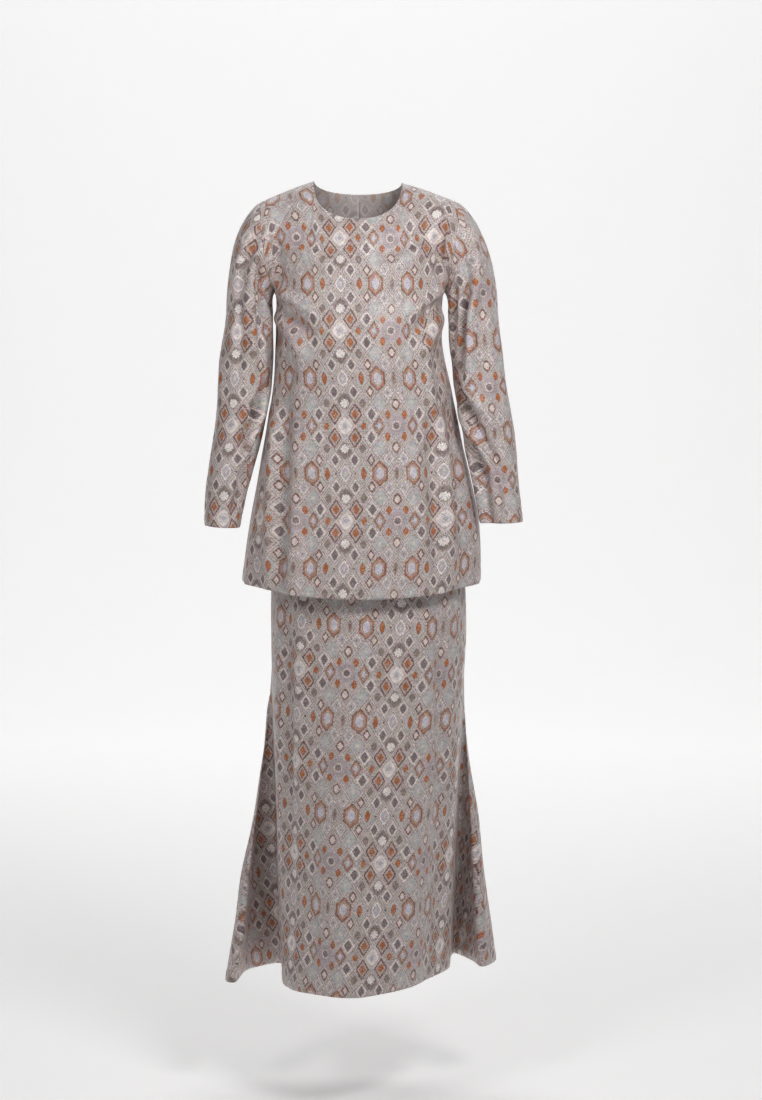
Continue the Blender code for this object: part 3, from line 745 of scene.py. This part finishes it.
def flat_measures(rows, middle, level):
    """Across from the middle column and up from a level row, for each grid point.

    Above the level a column's sideways moves don't count as up, and the row's moves
    from front to back fade out of its across, as the cloth turns over the shoulder.
    """
    columns = len(rows[0])
    ups = []
    for column in range(columns):
        run = arc_lengths([line[column] for line in rows[:level + 1]])
        upper = [Vector((0.0, line[column].y, line[column].z)) for line in rows[level:]]
        ups.append([value - run[level] for value in run] + arc_lengths(upper)[1:])
    measures = []
    for row, line in enumerate(rows):
        share = max(0.0, (row - level) / max(1, len(rows) - 1 - level))
        kept = 1.0 - 0.9 * ease((share - 0.45) / 0.45)
        flat = [Vector((point.x, point.y * kept, 0.0)) for point in line]
        run = arc_lengths(flat if row > level else line)
        measures.append([(run[c] - run[middle], ups[c][row]) for c in range(columns)])
    return measures


def at_height(line, z):
    """Where a rising line of points passes a height."""
    for low, high in zip(line, line[1:]):
        if high.z >= z:
            return low.lerp(high, min(max((z - low.z) / max(high.z - low.z, 1e-6), 0.0), 1.0))
    return line[-1]


def cap_measures(rows, outer, level):
    """A sleeve's measures; in its cap, across runs level round it from the outer line."""
    measures = flat_measures(rows, outer, level)
    lines = [[line[column] for line in rows[level:]] for column in range(len(rows[0]))]
    climb = arc_lengths(lines[outer])
    heights = [point.z for point in lines[outer]]
    for row in range(level + 1, len(rows)):
        for column, point in enumerate(rows[row]):
            way = 1 if column > outer else -1
            here = at_height(lines[outer], point.z)
            across = 0.0
            for beside in range(outer + way, column + way, way) if column != outer else ():
                there = at_height(lines[beside], point.z)
                across += (there - here).length
                here = there
            at = next((i for i, z in enumerate(heights) if z >= point.z), len(heights) - 1)
            low = max(at - 1, 0)
            share = (point.z - heights[low]) / max(heights[at] - heights[low], 1e-6) if at else 0.0
            up = mix(climb[low], climb[at], min(max(share, 0.0), 1.0))
            measures[row][column] = (across * way, up)
    return measures


def mirrored(measures):
    """Measures of a piece that is seen from behind."""
    return [[(-u, v) for u, v in line] for line in measures]


def from_sides(measures, row, column):
    """How far a grid point is from the nearer side of its piece."""
    u = measures[row][column][0]
    return min(abs(u - measures[row][0][0]), abs(u - measures[row][-1][0]))


def print_origin(rows, measures, x, z, lean=0.0, back_y=1.0):
    """Shift the measures so that a heart of the print sits at the point nearest x and z."""
    spots = ((math.hypot(p.x - x, p.z - z) + (0.5 if p.y > back_y else 0.0), r, c)
             for r, line in enumerate(rows) for c, p in enumerate(line))
    _, row, column = min(spots)
    across, up = measures[row][column]
    cosine = math.cos(math.radians(lean))
    sine = math.sin(math.radians(lean))
    return [[((u - across) * cosine + (v - up) * sine, (v - up) * cosine - (u - across) * sine)
             for u, v in line] for line in measures]


# ---- making the shells

def cloth_shell(name, rows, closed, heights, cut, face, reverse, thick=CLOTH, slit=None):
    """A thin shell from a grid: raised by the heights, print measures kept as its UV map."""
    columns = len(rows[0])
    points = [point for line in rows for point in line]
    faces = []
    last = columns if closed else columns - 1
    for row in range(len(rows) - 1):
        for column in range(last):
            right = (column + 1) % columns
            faces.append((row * columns + column, row * columns + right,
                          (row + 1) * columns + right, (row + 1) * columns + column))
    data = bpy.data.meshes.new(name)
    data.from_pydata([tuple(p) for p in points], [], faces)
    data.update()
    flat = data.uv_layers.new(name="cut")
    for polygon in data.polygons:
        row, column = divmod(polygon.index, last)
        corners = ((row, column), (row, column + 1), (row + 1, column + 1), (row + 1, column))
        for loop, (r, c) in zip(polygon.loop_indices, corners):
            flat.data[loop].uv = cut[r][c]
    ways = [vertex.normal.copy() for vertex in data.vertices]
    for vertex, way in zip(data.vertices, ways):
        row, column = divmod(vertex.index, columns)
        vertex.co = vertex.co + way * heights[row][column]
    piece = bpy.data.objects.new(name, data)
    bpy.context.scene.collection.objects.link(piece)
    if slit:
        open_slit(piece, slit, columns)
    data.shade_smooth()
    data.materials.append(face)
    data.materials.append(reverse)
    wall = piece.modifiers.new("wall", "SOLIDIFY")
    wall.thickness = thick
    wall.offset = -1.0
    wall.material_offset = 1
    wall.material_offset_rim = 0
    apply_modifiers(piece)
    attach(piece, "root")
    return piece


def open_slit(piece, slit, columns):
    """Part the cloth along a column, from its top down to the slit's foot."""
    mesh = bmesh.new()
    mesh.from_mesh(piece.data)
    mesh.verts.ensure_lookup_table()
    line = [mesh.verts[row * columns + slit["column"]] for row in range(slit["foot"], slit["rows"])]
    edges = [edge for low, high in zip(line, line[1:])
             for edge in low.link_edges if high in edge.verts]
    bmesh.ops.split_edges(mesh, edges=edges)
    foot_z = line[0].co.z
    places = {}
    for vertex in mesh.verts:
        places.setdefault(tuple(round(v, 7) for v in vertex.co), []).append(vertex)
    for twins in places.values():
        if len(twins) != 2:
            continue
        for vertex in twins:
            faces = vertex.link_faces
            centre = sum((f.calc_center_median() for f in faces), Vector()) / len(faces)
            side = math.copysign(1.0, centre.x - vertex.co.x)
            vertex.co.x += side * SLIT_OPEN * ease((vertex.co.z - foot_z) / SLIT_TAPER)
    mesh.to_mesh(piece.data)
    mesh.free()


def apply_modifiers(piece):
    bpy.ops.object.select_all(action="DESELECT")
    bpy.context.view_layer.objects.active = piece
    piece.select_set(True)
    for modifier in list(piece.modifiers):
        bpy.ops.object.modifier_apply(modifier=modifier.name)
    piece.select_set(False)


# ---- the pieces

def make_tunic_panel(name, front, creases, origin, face, reverse):
    rows = tunic_panel(front)
    middle = PANEL_COLUMNS // 2
    measures = flat_measures(rows, middle, LOWER_ROWS)
    if not front:
        measures = mirrored(measures)
    shoulder = SHOULDER_SHARE * PANEL_COLUMNS
    top = len(rows) - 1

    def height(row, column, point):
        v = measures[row][column][1]
        to_side = from_sides(measures, row, column)
        to_top = measures[top][column][1] - v
        value = crease_height(creases, point.x, point.z) + unevenness(point, TUNIC_SWELLS)
        value *= ease(to_side / SIDE_FADE) * ease(to_top / TOP_FADE)
        value += seam_groove(to_side) + hem_height(v - measures[0][column][1], TUNIC_HEM)
        if row > LOWER_ROWS:
            value += seam_pucker(to_side, v) * ease((row - LOWER_ROWS) / PUCKER_ROWS)
        if not front and row > top - SLIT_ROWS:
            value += seam_groove(abs(point.x - rows[row][middle].x), SLIT_SEAM_DEPTH)
        if min(column, PANEL_COLUMNS - column) <= shoulder:
            return value + seam_groove(to_top)
        return value + hem_height(to_top, NECK_TURN)

    heights = height_grid(rows, height)
    slit = None if front else {"column": middle, "foot": top - SLIT_ROWS, "rows": len(rows)}
    cut = print_origin(rows, measures, *origin)
    return cloth_shell(name, rows, False, heights, cut, face, reverse, slit=slit)


def make_sleeve(name, arm, rings, creases, origin, face, reverse):
    rows = sleeve(arm, rings)
    joined = [line + [line[0]] for line in rows]
    count = len(rows[0])
    measures = cap_measures(joined, count // 2, SLEEVE_ROWS)

    def height(row, column, point):
        bearing = 360.0 * column / count
        if arm.side == "right":
            bearing = (360.0 - bearing) % 360.0
        to_top = (rows[-1][column] - point).length
        to_hem = measures[row][column][1] - measures[0][column][1]
        value = crease_height(creases, bearing, point.z, ARM_RADIUS * math.pi / 180.0)
        value += unevenness(point, SLEEVE_SWELLS)
        value *= ease(to_top / SIDE_FADE)
        value += seam_groove(to_top) + hem_height(to_hem, SLEEVE_HEM)
        return value + seam_pucker(to_top, math.radians(bearing) * SEAM_RADIUS)

    heights = height_grid(rows, height)
    middle_y = read(rings, "y", origin[1])
    cut = print_origin(joined, measures, *origin, back_y=middle_y)
    return cloth_shell(name, rows, True, heights, cut, face, reverse)


def make_skirt_panel(name, front, creases, origin, lean, face, reverse):
    rows = skirt_panel(front)
    middle = min(range(SKIRT_COLUMNS + 1), key=lambda c: abs(rows[0][c].x))
    measures = flat_measures(rows, middle, SKIRT_ROWS)
    if not front:
        measures = mirrored(measures)

    def height(row, column, point):
        u, v = measures[row][column]
        to_side = from_sides(measures, row, column)
        to_hem = v - measures[0][column][1]
        value = crease_height(creases, point.x, point.z) + unevenness(point, SKIRT_SWELLS)
        value *= ease(to_side / SIDE_FADE)
        value += seam_groove(to_side, SKIRT_SEAM_DEPTH) + hem_height(to_hem, SKIRT_HEM)
        return value + waist_gathers(u, -v)

    heights = height_grid(rows, height)
    cut = print_origin(rows, measures, *origin, lean=lean)
    return cloth_shell(name, rows, False, heights, cut, face, reverse)


def make_waistband(face):
    """An elasticated band, drawn into close upright gathers."""
    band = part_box("skirt_waistband")
    around = [skirt_plain(180.0 * c / BAND_COLUMNS, WAIST_Z) for c in range(2 * BAND_COLUMNS)]
    heights_up = [mix(band[0][2], band[1][2], step / BAND_ROWS) for step in range(BAND_ROWS + 1)]
    rows = [[Vector((point.x, point.y, z)) for point in around] for z in heights_up]
    measures = flat_measures([line + [line[0]] for line in rows], 0, 0)

    def height(row, column, _):
        stitched = sum(math.exp(-((row / BAND_ROWS - at) / BAND_STITCH_WIDTH) ** 2) for at in BAND_STITCHES)
        waves = ripples(measures[row][column][0], BAND_WAVES)
        return -BAND_GATHER + BAND_GATHER * waves * (1.0 - BAND_STITCH_PULL * stitched)

    heights = height_grid(rows, height)
    piece = cloth_shell("waistband_cloth", rows, True, heights, measures, face, face, thick=BAND_CLOTH)
    return piece


# ---- finishes

def linear(code):
    """An sRGB hex colour as linear red, green, blue and alpha."""
    values = [int(code[i:i + 2], 16) / 255.0 for i in (1, 3, 5)]
    return tuple(v / 12.92 if v <= 0.04045 else ((v + 0.055) / 1.055) ** 2.4 for v in values) + (1.0,)


def feed(tree, node, inputs):
    """Give a node its inputs, by name or in turn: values, sockets, or nodes' first outputs."""
    for name, value in inputs.items() if isinstance(inputs, dict) else enumerate(inputs):
        if isinstance(value, bpy.types.Node):
            value = value.outputs[0]
        if isinstance(value, bpy.types.NodeSocket):
            tree.links.new(value, node.inputs[name])
        else:
            node.inputs[name].default_value = value


def add(tree, kind, inputs=(), **settings):
    """Add a node with its settings and links."""
    node = tree.nodes.new("ShaderNode" + kind)
    for name, value in settings.items():
        setattr(node, name, value)
    feed(tree, node, inputs)
    return node


PRINT = {
    "ground": "#C0B2AD", "ground_light": "#D8CBC7", "ground_dark": "#968683", "shade": "#A89894",
    "white": "#F0E6E2", "cream": "#E4D3CC", "lavender": "#D0C9D5", "lavender_grey": "#BEB5BB",
    "beige": "#C8B1A7", "orange": "#B26636", "rust": "#A25E3C", "clay": "#B07A5F", "brown": "#875B4A",
    "maroon": "#704947", "charcoal": "#665856", "slate": "#7D6F70", "brown_grey": "#8D7B72",
    "olive": "#8C7E6C", "mist": "#C0BEB9", "mist_blue": "#BDBDC1", "mauve": "#B2A3A5",
}

# Half of the repeat across and up, in millimetres: the chart is mirrored at both.
HALF_REPEAT = (82.6, 76.5)
THREAD_MM = 1.3          # the printed threads, drawn three times too coarse so that they show
FRAY_MM = 1.6            # the motifs' edges wander within this span
LATTICE = (6.0, 4.0)     # the slanting lines' steps in half a repeat, two steps to a line
PETAL_SLIMNESS = 3.2     # the star's upright petals, then its slanted ones
SLANT_SLIMNESS = 3.4
SLANT_REACH = 0.70
HEXAGON_LEAN = 0.55

# Each motif: its centre and half sizes in millimetres, its shape, and its rings from
# the middle outwards as (share of the half size where it ends, colour).
Motif = namedtuple("Motif", "name x y w h shape rings")
MOTIFS = [Motif(*row) for row in (
    ("quiet_field", 82.6, 0.0, 19.0, 19.0, "oval", ((0.8, "mauve"), (1.0, "lavender_grey"))),
    ("mist_field", 56.0, 36.8, 10.5, 12.5, "lozenge",
     ((0.30, "ground_light"), (0.7, "mist"), (1.0, "mist_blue"))),
    ("heart_border", 0.0, 0.0, 18.4, 23.5, "diamond", ((0.84, "beige"), (1.0, "ground_light"))),
    ("heart", 0.0, 0.0, 12.6, 15.0, "lozenge",
     ((0.34, "lavender_grey"), (0.46, "white"), (0.54, "lavender_grey"), (0.92, "white"),
      (1.0, "cream"))),
    ("heart_notch", 0.0, 16.6, 2.3, 4.2, "diamond", ((1.0, "mist_blue"),)),
    ("star_halo", 0.0, 40.2, 12.8, 14.6, "lozenge",
     ((0.45, "slate"), (0.62, "brown_grey"), (0.76, "slate"), (0.88, "ground_dark"), (1.0, "shade"))),
    ("star", 0.0, 36.3, 7.0, 7.4, "star", ((1.0, "white"),)),
    ("frame", 16.6, 18.9, 11.8, 17.2, "diamond",
     ((0.52, "olive"), (0.70, "beige"), (0.80, "shade"), (1.0, "maroon"))),
    ("frame_core", 16.5, 18.9, 4.9, 7.3, "lozenge", ((0.90, "orange"), (1.0, "rust"))),
    ("ember_halo", 30.0, 0.0, 9.8, 14.7, "lozenge",
     ((0.62, "mist"), (0.72, "ground_dark"), (0.84, "ground_light"), (1.0, "shade"))),
    ("ember", 30.0, 0.0, 5.0, 7.4, "lozenge", ((0.88, "orange"), (1.0, "olive"))),
    ("side_diamond", 54.8, 0.0, 9.8, 15.2, "diamond",
     ((0.42, "lavender"), (0.54, "ground_dark"), (0.66, "beige"), (0.84, "clay"), (1.0, "brown"))),
    ("bead_ring", 82.6, 0.0, 7.2, 7.6, "oval", ((0.66, "slate"), (0.76, "ground_dark"), (1.0, "cream"))),
    ("dark_seed", 42.9, 18.9, 10.6, 14.0, "diamond",
     ((0.60, "ground_light"), (0.74, "ground"), (0.88, "white"), (1.0, "ground_light"))),
    ("dark_seed_core", 42.9, 18.9, 5.7, 8.8, "lozenge", ((1.0, "slate"),)),
    ("ember_seed", 68.9, 17.4, 5.0, 7.4, "lozenge", ((0.88, "orange"), (1.0, "rust"))),
    ("brown_seed", 29.2, 36.6, 5.4, 7.8, "lozenge", ((0.84, "brown_grey"), (1.0, "slate"))),
    ("rim_seed", 82.6, 34.9, 7.2, 9.8, "lozenge", ((0.68, "cream"), (0.82, "brown"), (1.0, "maroon"))),
    ("dark_pair", 15.9, 54.5, 9.0, 13.4, "diamond",
     ((0.62, "ground_light"), (0.78, "ground"), (0.90, "white"), (1.0, "ground_light"))),
    ("dark_pair_core", 15.9, 54.5, 5.3, 8.3, "lozenge", ((1.0, "slate"),)),
    ("rim_pair", 42.3, 54.8, 6.6, 10.4, "diamond", ((0.62, "cream"), (0.80, "brown"), (1.0, "maroon"))),
    ("pale_speck", 70.4, 53.3, 8.4, 12.0, "diamond",
     ((0.16, "slate"), (0.40, "ground"), (0.76, "lavender_grey"), (0.92, "white"), (1.0, "shade"))),
    ("pale_lozenge", 0.0, 76.5, 10.4, 16.0, "lozenge",
     ((0.26, "ground_light"), (0.66, "lavender_grey"), (0.84, "white"), (0.92, "ground_light"),
      (1.0, "ground_dark"))),
    ("speck", 15.9, 76.5, 1.9, 1.9, "oval", ((1.0, "charcoal"),)),
    ("tall_halo", 30.0, 76.5, 8.6, 15.6, "lozenge", ((0.78, "mist_blue"), (1.0, "mist"))),
    ("tall_ember", 30.0, 76.5, 5.0, 10.8, "lozenge", ((0.86, "orange"), (1.0, "rust"))),
    ("medallion", 55.7, 76.5, 11.9, 21.0, "hexagon",
     ((0.42, "lavender"), (0.50, "cream"), (0.58, "ground_dark"), (0.68, "beige"), (0.88, "clay"),
      (1.0, "brown"))),
    ("feather", 82.6, 76.5, 4.2, 12.0, "lozenge",
     ((0.34, "brown"), (0.6, "ground_dark"), (0.8, "brown_grey"), (1.0, "shade"))),
)]

def motif_distance(tree, motif, folded):
    """How far a place is from a motif's middle, in shares of the motif's half size."""
    off = add(tree, "VectorMath", (folded, (motif.x, motif.y, 0.0)), operation="SUBTRACT")
    plain = add(tree, "VectorMath", (off,), operation="ABSOLUTE")
    shares = (1.0 / motif.w, 1.0 / motif.h, 0.0)
    scaled = add(tree, "VectorMath", (plain, shares), operation="MULTIPLY")
    straight = add(tree, "VectorMath", (scaled, (1.0, 1.0, 0.0)), operation="DOT_PRODUCT").outputs["Value"]
    if motif.shape == "diamond":
        return straight
    if motif.shape in ("oval", "lozenge"):
        round_off = add(tree, "VectorMath", (scaled,), operation="LENGTH").outputs["Value"]
        if motif.shape == "oval":
            return round_off
        both = add(tree, "Math", (straight, round_off), operation="ADD")
        return add(tree, "Math", (both, 0.5), operation="MULTIPLY")
    x, y, _ = add(tree, "SeparateXYZ", (scaled,)).outputs
    if motif.shape == "hexagon":
        lean = add(tree, "Math", (x, HEXAGON_LEAN, y), operation="MULTIPLY_ADD")
        return add(tree, "Math", (lean, x), operation="MAXIMUM")
    petals = []
    for first, second in ((x, y), (y, x)):
        narrow = add(tree, "Math", (first, PETAL_SLIMNESS), operation="MULTIPLY")
        petals.append(add(tree, "Math", (narrow, second), operation="MAXIMUM"))
    upright = add(tree, "Math", petals, operation="MINIMUM")
    lean = add(tree, "Math", (x, y), operation="SUBTRACT")
    slim = add(tree, "Math", (lean,), operation="ABSOLUTE")
    slanted = add(tree, "Math", (slim, SLANT_SLIMNESS), operation="MULTIPLY")
    reach = add(tree, "Math", (straight, SLANT_REACH), operation="MULTIPLY")
    corner = add(tree, "Math", (slanted, reach), operation="MAXIMUM")
    return add(tree, "Math", (upright, corner), operation="MINIMUM")


def ring_colours(tree, distance, rings):
    """A stepped ramp that gives each ring of a motif its colour."""
    ramp = add(tree, "ValToRGB", (distance,))
    steps = ramp.color_ramp
    steps.interpolation = "CONSTANT"
    steps.elements[0].position = 0.0
    steps.elements[0].color = linear(PRINT[rings[0][1]])
    steps.elements.remove(steps.elements[1])
    for (reach, _), (_, colour) in zip(rings, rings[1:]):
        steps.elements.new(reach).color = linear(PRINT[colour])
    return ramp.outputs["Color"]


def lattice_ground(tree, folded):
    """The ground: pale and dark dotted lines crossing between the motifs."""
    parts = add(tree, "SeparateXYZ", (folded,)).outputs
    across, up = [add(tree, "Math", (parts[way], LATTICE[way] / HALF_REPEAT[way]), operation="MULTIPLY")
                  for way in (0, 1)]
    lines = []
    for operation in ("ADD", "SUBTRACT"):
        slant = add(tree, "Math", (across, up), operation=operation)
        shifted = add(tree, "Math", (slant, 1.0), operation="ADD")
        lines.append(add(tree, "Math", (shifted, 1.0), operation="PINGPONG"))
    nearest = add(tree, "Math", lines, operation="MINIMUM")
    rings = ((0.08, "ground_light"), (0.17, "ground_dark"), (0.26, "ground"), (0.36, "ground_light"),
             (0.44, "shade"), (0.60, "ground"), (0.72, "mist"), (1.0, "ground"))
    return ring_colours(tree, nearest, rings)


def printed_colour(tree):
    """The whole print, read from the cut's flat measures."""
    cut = add(tree, "UVMap", uv_map="cut")
    flat = add(tree, "VectorMath", (cut, (1000.0, 1000.0, 0.0)), operation="MULTIPLY")
    fray = add(tree, "TexNoise", {"Vector": flat, "Scale": 0.55, "Detail": 1.0}, noise_dimensions="2D")
    shift = add(tree, "VectorMath", (fray.outputs["Color"], (0.5, 0.5, 0.5)), operation="SUBTRACT")
    small = add(tree, "VectorMath", (shift, (FRAY_MM, FRAY_MM, 0.0)), operation="MULTIPLY")
    frayed = add(tree, "VectorMath", (flat, small), operation="ADD")
    threads = add(tree, "VectorMath", (frayed, (THREAD_MM, THREAD_MM, 1.0)), operation="SNAP")
    parts = add(tree, "SeparateXYZ", (threads,)).outputs
    sides = [add(tree, "Math", (parts[way], HALF_REPEAT[way]), operation="PINGPONG") for way in (0, 1)]
    folded = add(tree, "CombineXYZ", sides)
    colour = lattice_ground(tree, folded)
    for motif in MOTIFS:
        distance = motif_distance(tree, motif, folded)
        inside = add(tree, "Math", (distance, 1.0), operation="LESS_THAN")
        rings = ring_colours(tree, distance, motif.rings)
        colour = add(tree, "Mix", {0: inside, 6: colour, 7: rings}, data_type="RGBA").outputs[2]
    return dappled(tree, colour, flat, threads)


def dappled(tree, colour, flat, threads):
    """Single threads lighter, darker and slightly off in hue, over slow clouds of tone."""
    thread = add(tree, "TexWhiteNoise", {"Vector": threads}, noise_dimensions="2D")
    for operation, limit, share, tint in (("GREATER_THAN", 0.80, 0.34, "ground_light"),
                                          ("LESS_THAN", 0.17, 0.40, "slate")):
        chosen = add(tree, "Math", (thread.outputs["Value"], limit), operation=operation)
        some = add(tree, "Math", (chosen, share), operation="MULTIPLY")
        colour = add(tree, "Mix", {0: some, 6: colour, 7: linear(PRINT[tint])}, data_type="RGBA").outputs[2]
    cloud = add(tree, "TexNoise", {"Vector": flat, "Scale": 0.085, "Detail": 4.0, "Roughness": 0.7},
                noise_dimensions="2D")
    tone = add(tree, "MapRange", {"Value": cloud.outputs["Fac"], "From Min": 0.25, "From Max": 0.75,
                                  "To Min": 0.82, "To Max": 1.16})
    toned = add(tree, "VectorMath", {0: colour, "Scale": tone}, operation="SCALE")
    hue = add(tree, "Mix", {0: 0.80, 6: thread.outputs["Color"], 7: (0.5, 0.5, 0.5, 1.0)}, data_type="RGBA")
    return add(tree, "Mix", {0: 0.80, 6: toned, 7: hue.outputs[2]}, data_type="RGBA",
               blend_type="OVERLAY").outputs[2]


def weave_bump(tree, strength):
    """Satin's slanting floats, drawn about three times too coarse so that they catch light."""
    cut = add(tree, "UVMap", uv_map="cut")
    turned = add(tree, "Mapping", {"Vector": cut, "Rotation": (0.0, 0.0, math.radians(62.0)),
                                   "Scale": (1000.0, 260.0, 1.0)})
    floats = add(tree, "TexNoise", {"Vector": turned, "Scale": 0.9, "Detail": 2.0}, noise_dimensions="2D")
    rumple = add(tree, "TexNoise", {"Vector": cut, "Scale": 46.0, "Detail": 3.0}, noise_dimensions="2D")
    fine = add(tree, "Bump", {"Height": floats, "Strength": strength, "Distance": 0.0004})
    return add(tree, "Bump", {"Height": rumple, "Strength": 0.35, "Distance": 0.0016, "Normal": fine})


def new_material(name):
    made = bpy.data.materials.new(name)
    made.use_nodes = True
    tree = made.node_tree
    return made, tree, tree.nodes["Principled BSDF"]


def printed_satin(name, fade):
    """Polyester satin, heat printed: soft low sheen; the print shows paler on its reverse."""
    made, tree, surface = new_material(name)
    colour = printed_colour(tree)
    if fade:
        colour = add(tree, "Mix", {0: fade, 6: colour, 7: linear("#C9C1BE")}, data_type="RGBA").outputs[2]
    feed(tree, surface, {"Base Color": colour, "Normal": weave_bump(tree, 0.25),
                         "Roughness": 0.7 if fade else 0.46, "Specular IOR Level": 0.42,
                         "Sheen Weight": 0.12, "Sheen Roughness": 0.45})
    return made


def gathered_satin():
    """The waistband's satin: the ground colour only, creased and dull over its elastic."""
    made, tree, surface = new_material("gathered_satin")
    cut = add(tree, "UVMap", uv_map="cut")
    mottle = add(tree, "TexNoise", {"Vector": cut, "Scale": 240.0, "Detail": 3.0})
    tone = add(tree, "Mix", {0: mottle, 6: linear("#877B78"), 7: linear("#A99D9A")}, data_type="RGBA")
    feed(tree, surface, {"Base Color": tone.outputs[2], "Normal": weave_bump(tree, 0.3), "Roughness": 0.62})
    return made


def loop_satin():
    """A rouleau loop: bias satin turned into a thin shiny cord."""
    made, tree, surface = new_material("loop_satin")
    place = add(tree, "TexCoord").outputs["Object"]
    mottle = add(tree, "TexNoise", {"Vector": place, "Scale": 1400.0})
    tone = add(tree, "Mix", {0: mottle, 6: linear("#6A5C59"), 7: linear("#9A8D89")}, data_type="RGBA")
    feed(tree, surface, {"Base Color": tone.outputs[2], "Roughness": 0.42})
    return made


def button_shell():
    """Dyed polyester resin, polished: a faint pearl grain under a clear gloss."""
    made, tree, surface = new_material("button_shell")
    place = add(tree, "TexCoord").outputs["Object"]
    grain = add(tree, "TexNoise", {"Vector": place, "Scale": 420.0, "Distortion": 1.5})
    tone = add(tree, "Mix", {0: grain, 6: linear("#5E524F"), 7: linear("#8D807C")}, data_type="RGBA")
    feed(tree, surface, {"Base Color": tone.outputs[2], "Roughness": 0.22, "Coat Weight": 0.4})
    return made


# ---- stage

def make_stage():
    """A pale floor that curves up into a pale wall."""
    bpy.ops.object.select_all(action="DESELECT")
    bpy.ops.mesh.primitive_plane_add(size=1.0, location=(0.0, 0.0, FLOOR_Z))
    floor = bpy.context.object
    floor.name = "studio_sweep"
    floor.scale = FLOOR_SIZE
    bpy.ops.object.transform_apply(location=True, scale=True)
    bpy.ops.object.mode_set(mode="EDIT")
    bpy.ops.mesh.select_all(action="DESELECT")
    bpy.ops.object.mode_set(mode="OBJECT")
    for edge in floor.data.edges:
        edge.select = all(floor.data.vertices[v].co.y > 0.0 for v in edge.vertices)
    bpy.ops.object.mode_set(mode="EDIT")
    bpy.ops.mesh.extrude_region_move(TRANSFORM_OT_translate={"value": (0.0, 0.0, WALL_HEIGHT)})
    bpy.ops.object.mode_set(mode="OBJECT")
    bend = floor.modifiers.new("sweep", "BEVEL")
    bend.width = SWEEP_RADIUS
    bend.segments = SWEEP_STEPS
    apply_modifiers(floor)
    floor.data.shade_smooth()
    made, tree, surface = new_material("studio_paper")
    grain = add(tree, "TexNoise", {"Scale": 300.0})
    tone = add(tree, "Mix", {0: grain, 6: linear("#F4F3F3"), 7: linear("#F8F7F7")}, data_type="RGBA")
    feed(tree, surface, {"Base Color": tone.outputs[2], "Roughness": 0.9,
                         "Emission Color": (1.0, 1.0, 1.0, 1.0), "Emission Strength": PAPER_GLOW})
    floor.data.materials.append(made)


def aim_at(made, place, aim):
    """Stand a lamp or camera at a place, turned towards its aim."""
    made.location = place
    made.rotation_euler = (Vector(aim) - Vector(place)).to_track_quat("-Z", "Y").to_euler()
    bpy.context.scene.collection.objects.link(made)


def make_lights():
    """A high soft key close in front, a weaker fill, and a bank over the backdrop."""
    for light in LIGHTS:
        lamp = bpy.data.lights.new(light.name, "AREA")
        lamp.shape = "RECTANGLE"
        lamp.size, lamp.size_y = light.size
        lamp.energy = light.power
        made = bpy.data.objects.new(light.name, lamp)
        made.visible_camera = False
        aim_at(made, light.place, light.aim)
    world = bpy.data.worlds.new("studio_air")
    bpy.context.scene.world = world
    world.use_nodes = True
    air = {"Color": (1.0, 1.0, 1.0, 1.0), "Strength": AIR_STRENGTH}
    feed(world.node_tree, world.node_tree.nodes["Background"], air)


def make_camera():
    """Eye level with the chest, a little over four metres off, tilted slightly down."""
    lens = bpy.data.cameras.new("studio_camera")
    lens.lens = LENS_MM
    lens.shift_x = LENS_SHIFT
    made = bpy.data.objects.new("studio_camera", lens)
    aim_at(made, CAMERA_PLACE, CAMERA_AIM)
    bpy.context.scene.camera = made


def main():
    face = printed_satin("printed_satin_face", 0.0)
    reverse = printed_satin("printed_satin_reverse", 0.55)
    band = gathered_satin()
    front = make_tunic_panel("tunic_front_cloth", True, FRONT_CREASES, FRONT_HEART, face, reverse)
    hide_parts("top_front")
    back = make_tunic_panel("tunic_back_cloth", False, BACK_CREASES, BACK_HEART, face, reverse)
    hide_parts("top_back")
    left = make_sleeve("left_sleeve_cloth", ARMS[0], LEFT_SLEEVE, LEFT_SLEEVE_CREASES,
                       LEFT_SLEEVE_HEART, face, reverse)
    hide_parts("sleeve_left")
    right = make_sleeve("right_sleeve_cloth", ARMS[1], RIGHT_SLEEVE, RIGHT_SLEEVE_CREASES,
                        RIGHT_SLEEVE_HEART, face, reverse)
    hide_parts("sleeve_right")
    skirt_front = make_skirt_panel("skirt_front_cloth", True, SKIRT_FRONT_CREASES,
                                   SKIRT_FRONT_HEART, SKIRT_FRONT_LEAN, face, reverse)
    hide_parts("skirt_front")
    skirt_back = make_skirt_panel("skirt_back_cloth", False, SKIRT_BACK_CREASES,
                                  SKIRT_BACK_HEART, 0.0, face, reverse)
    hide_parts("skirt_back")
    waist = make_waistband(band)
    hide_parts("skirt_waistband")
    for node, made in (("neck_button", button_shell()), ("button_loop", loop_satin())):
        piece = bpy.data.objects[node]
        piece.data.materials.clear()
        piece.data.materials.append(made)
    make_stage()
    make_lights()
    make_camera()
    bpy.context.scene.view_settings.view_transform = "Standard"


main()
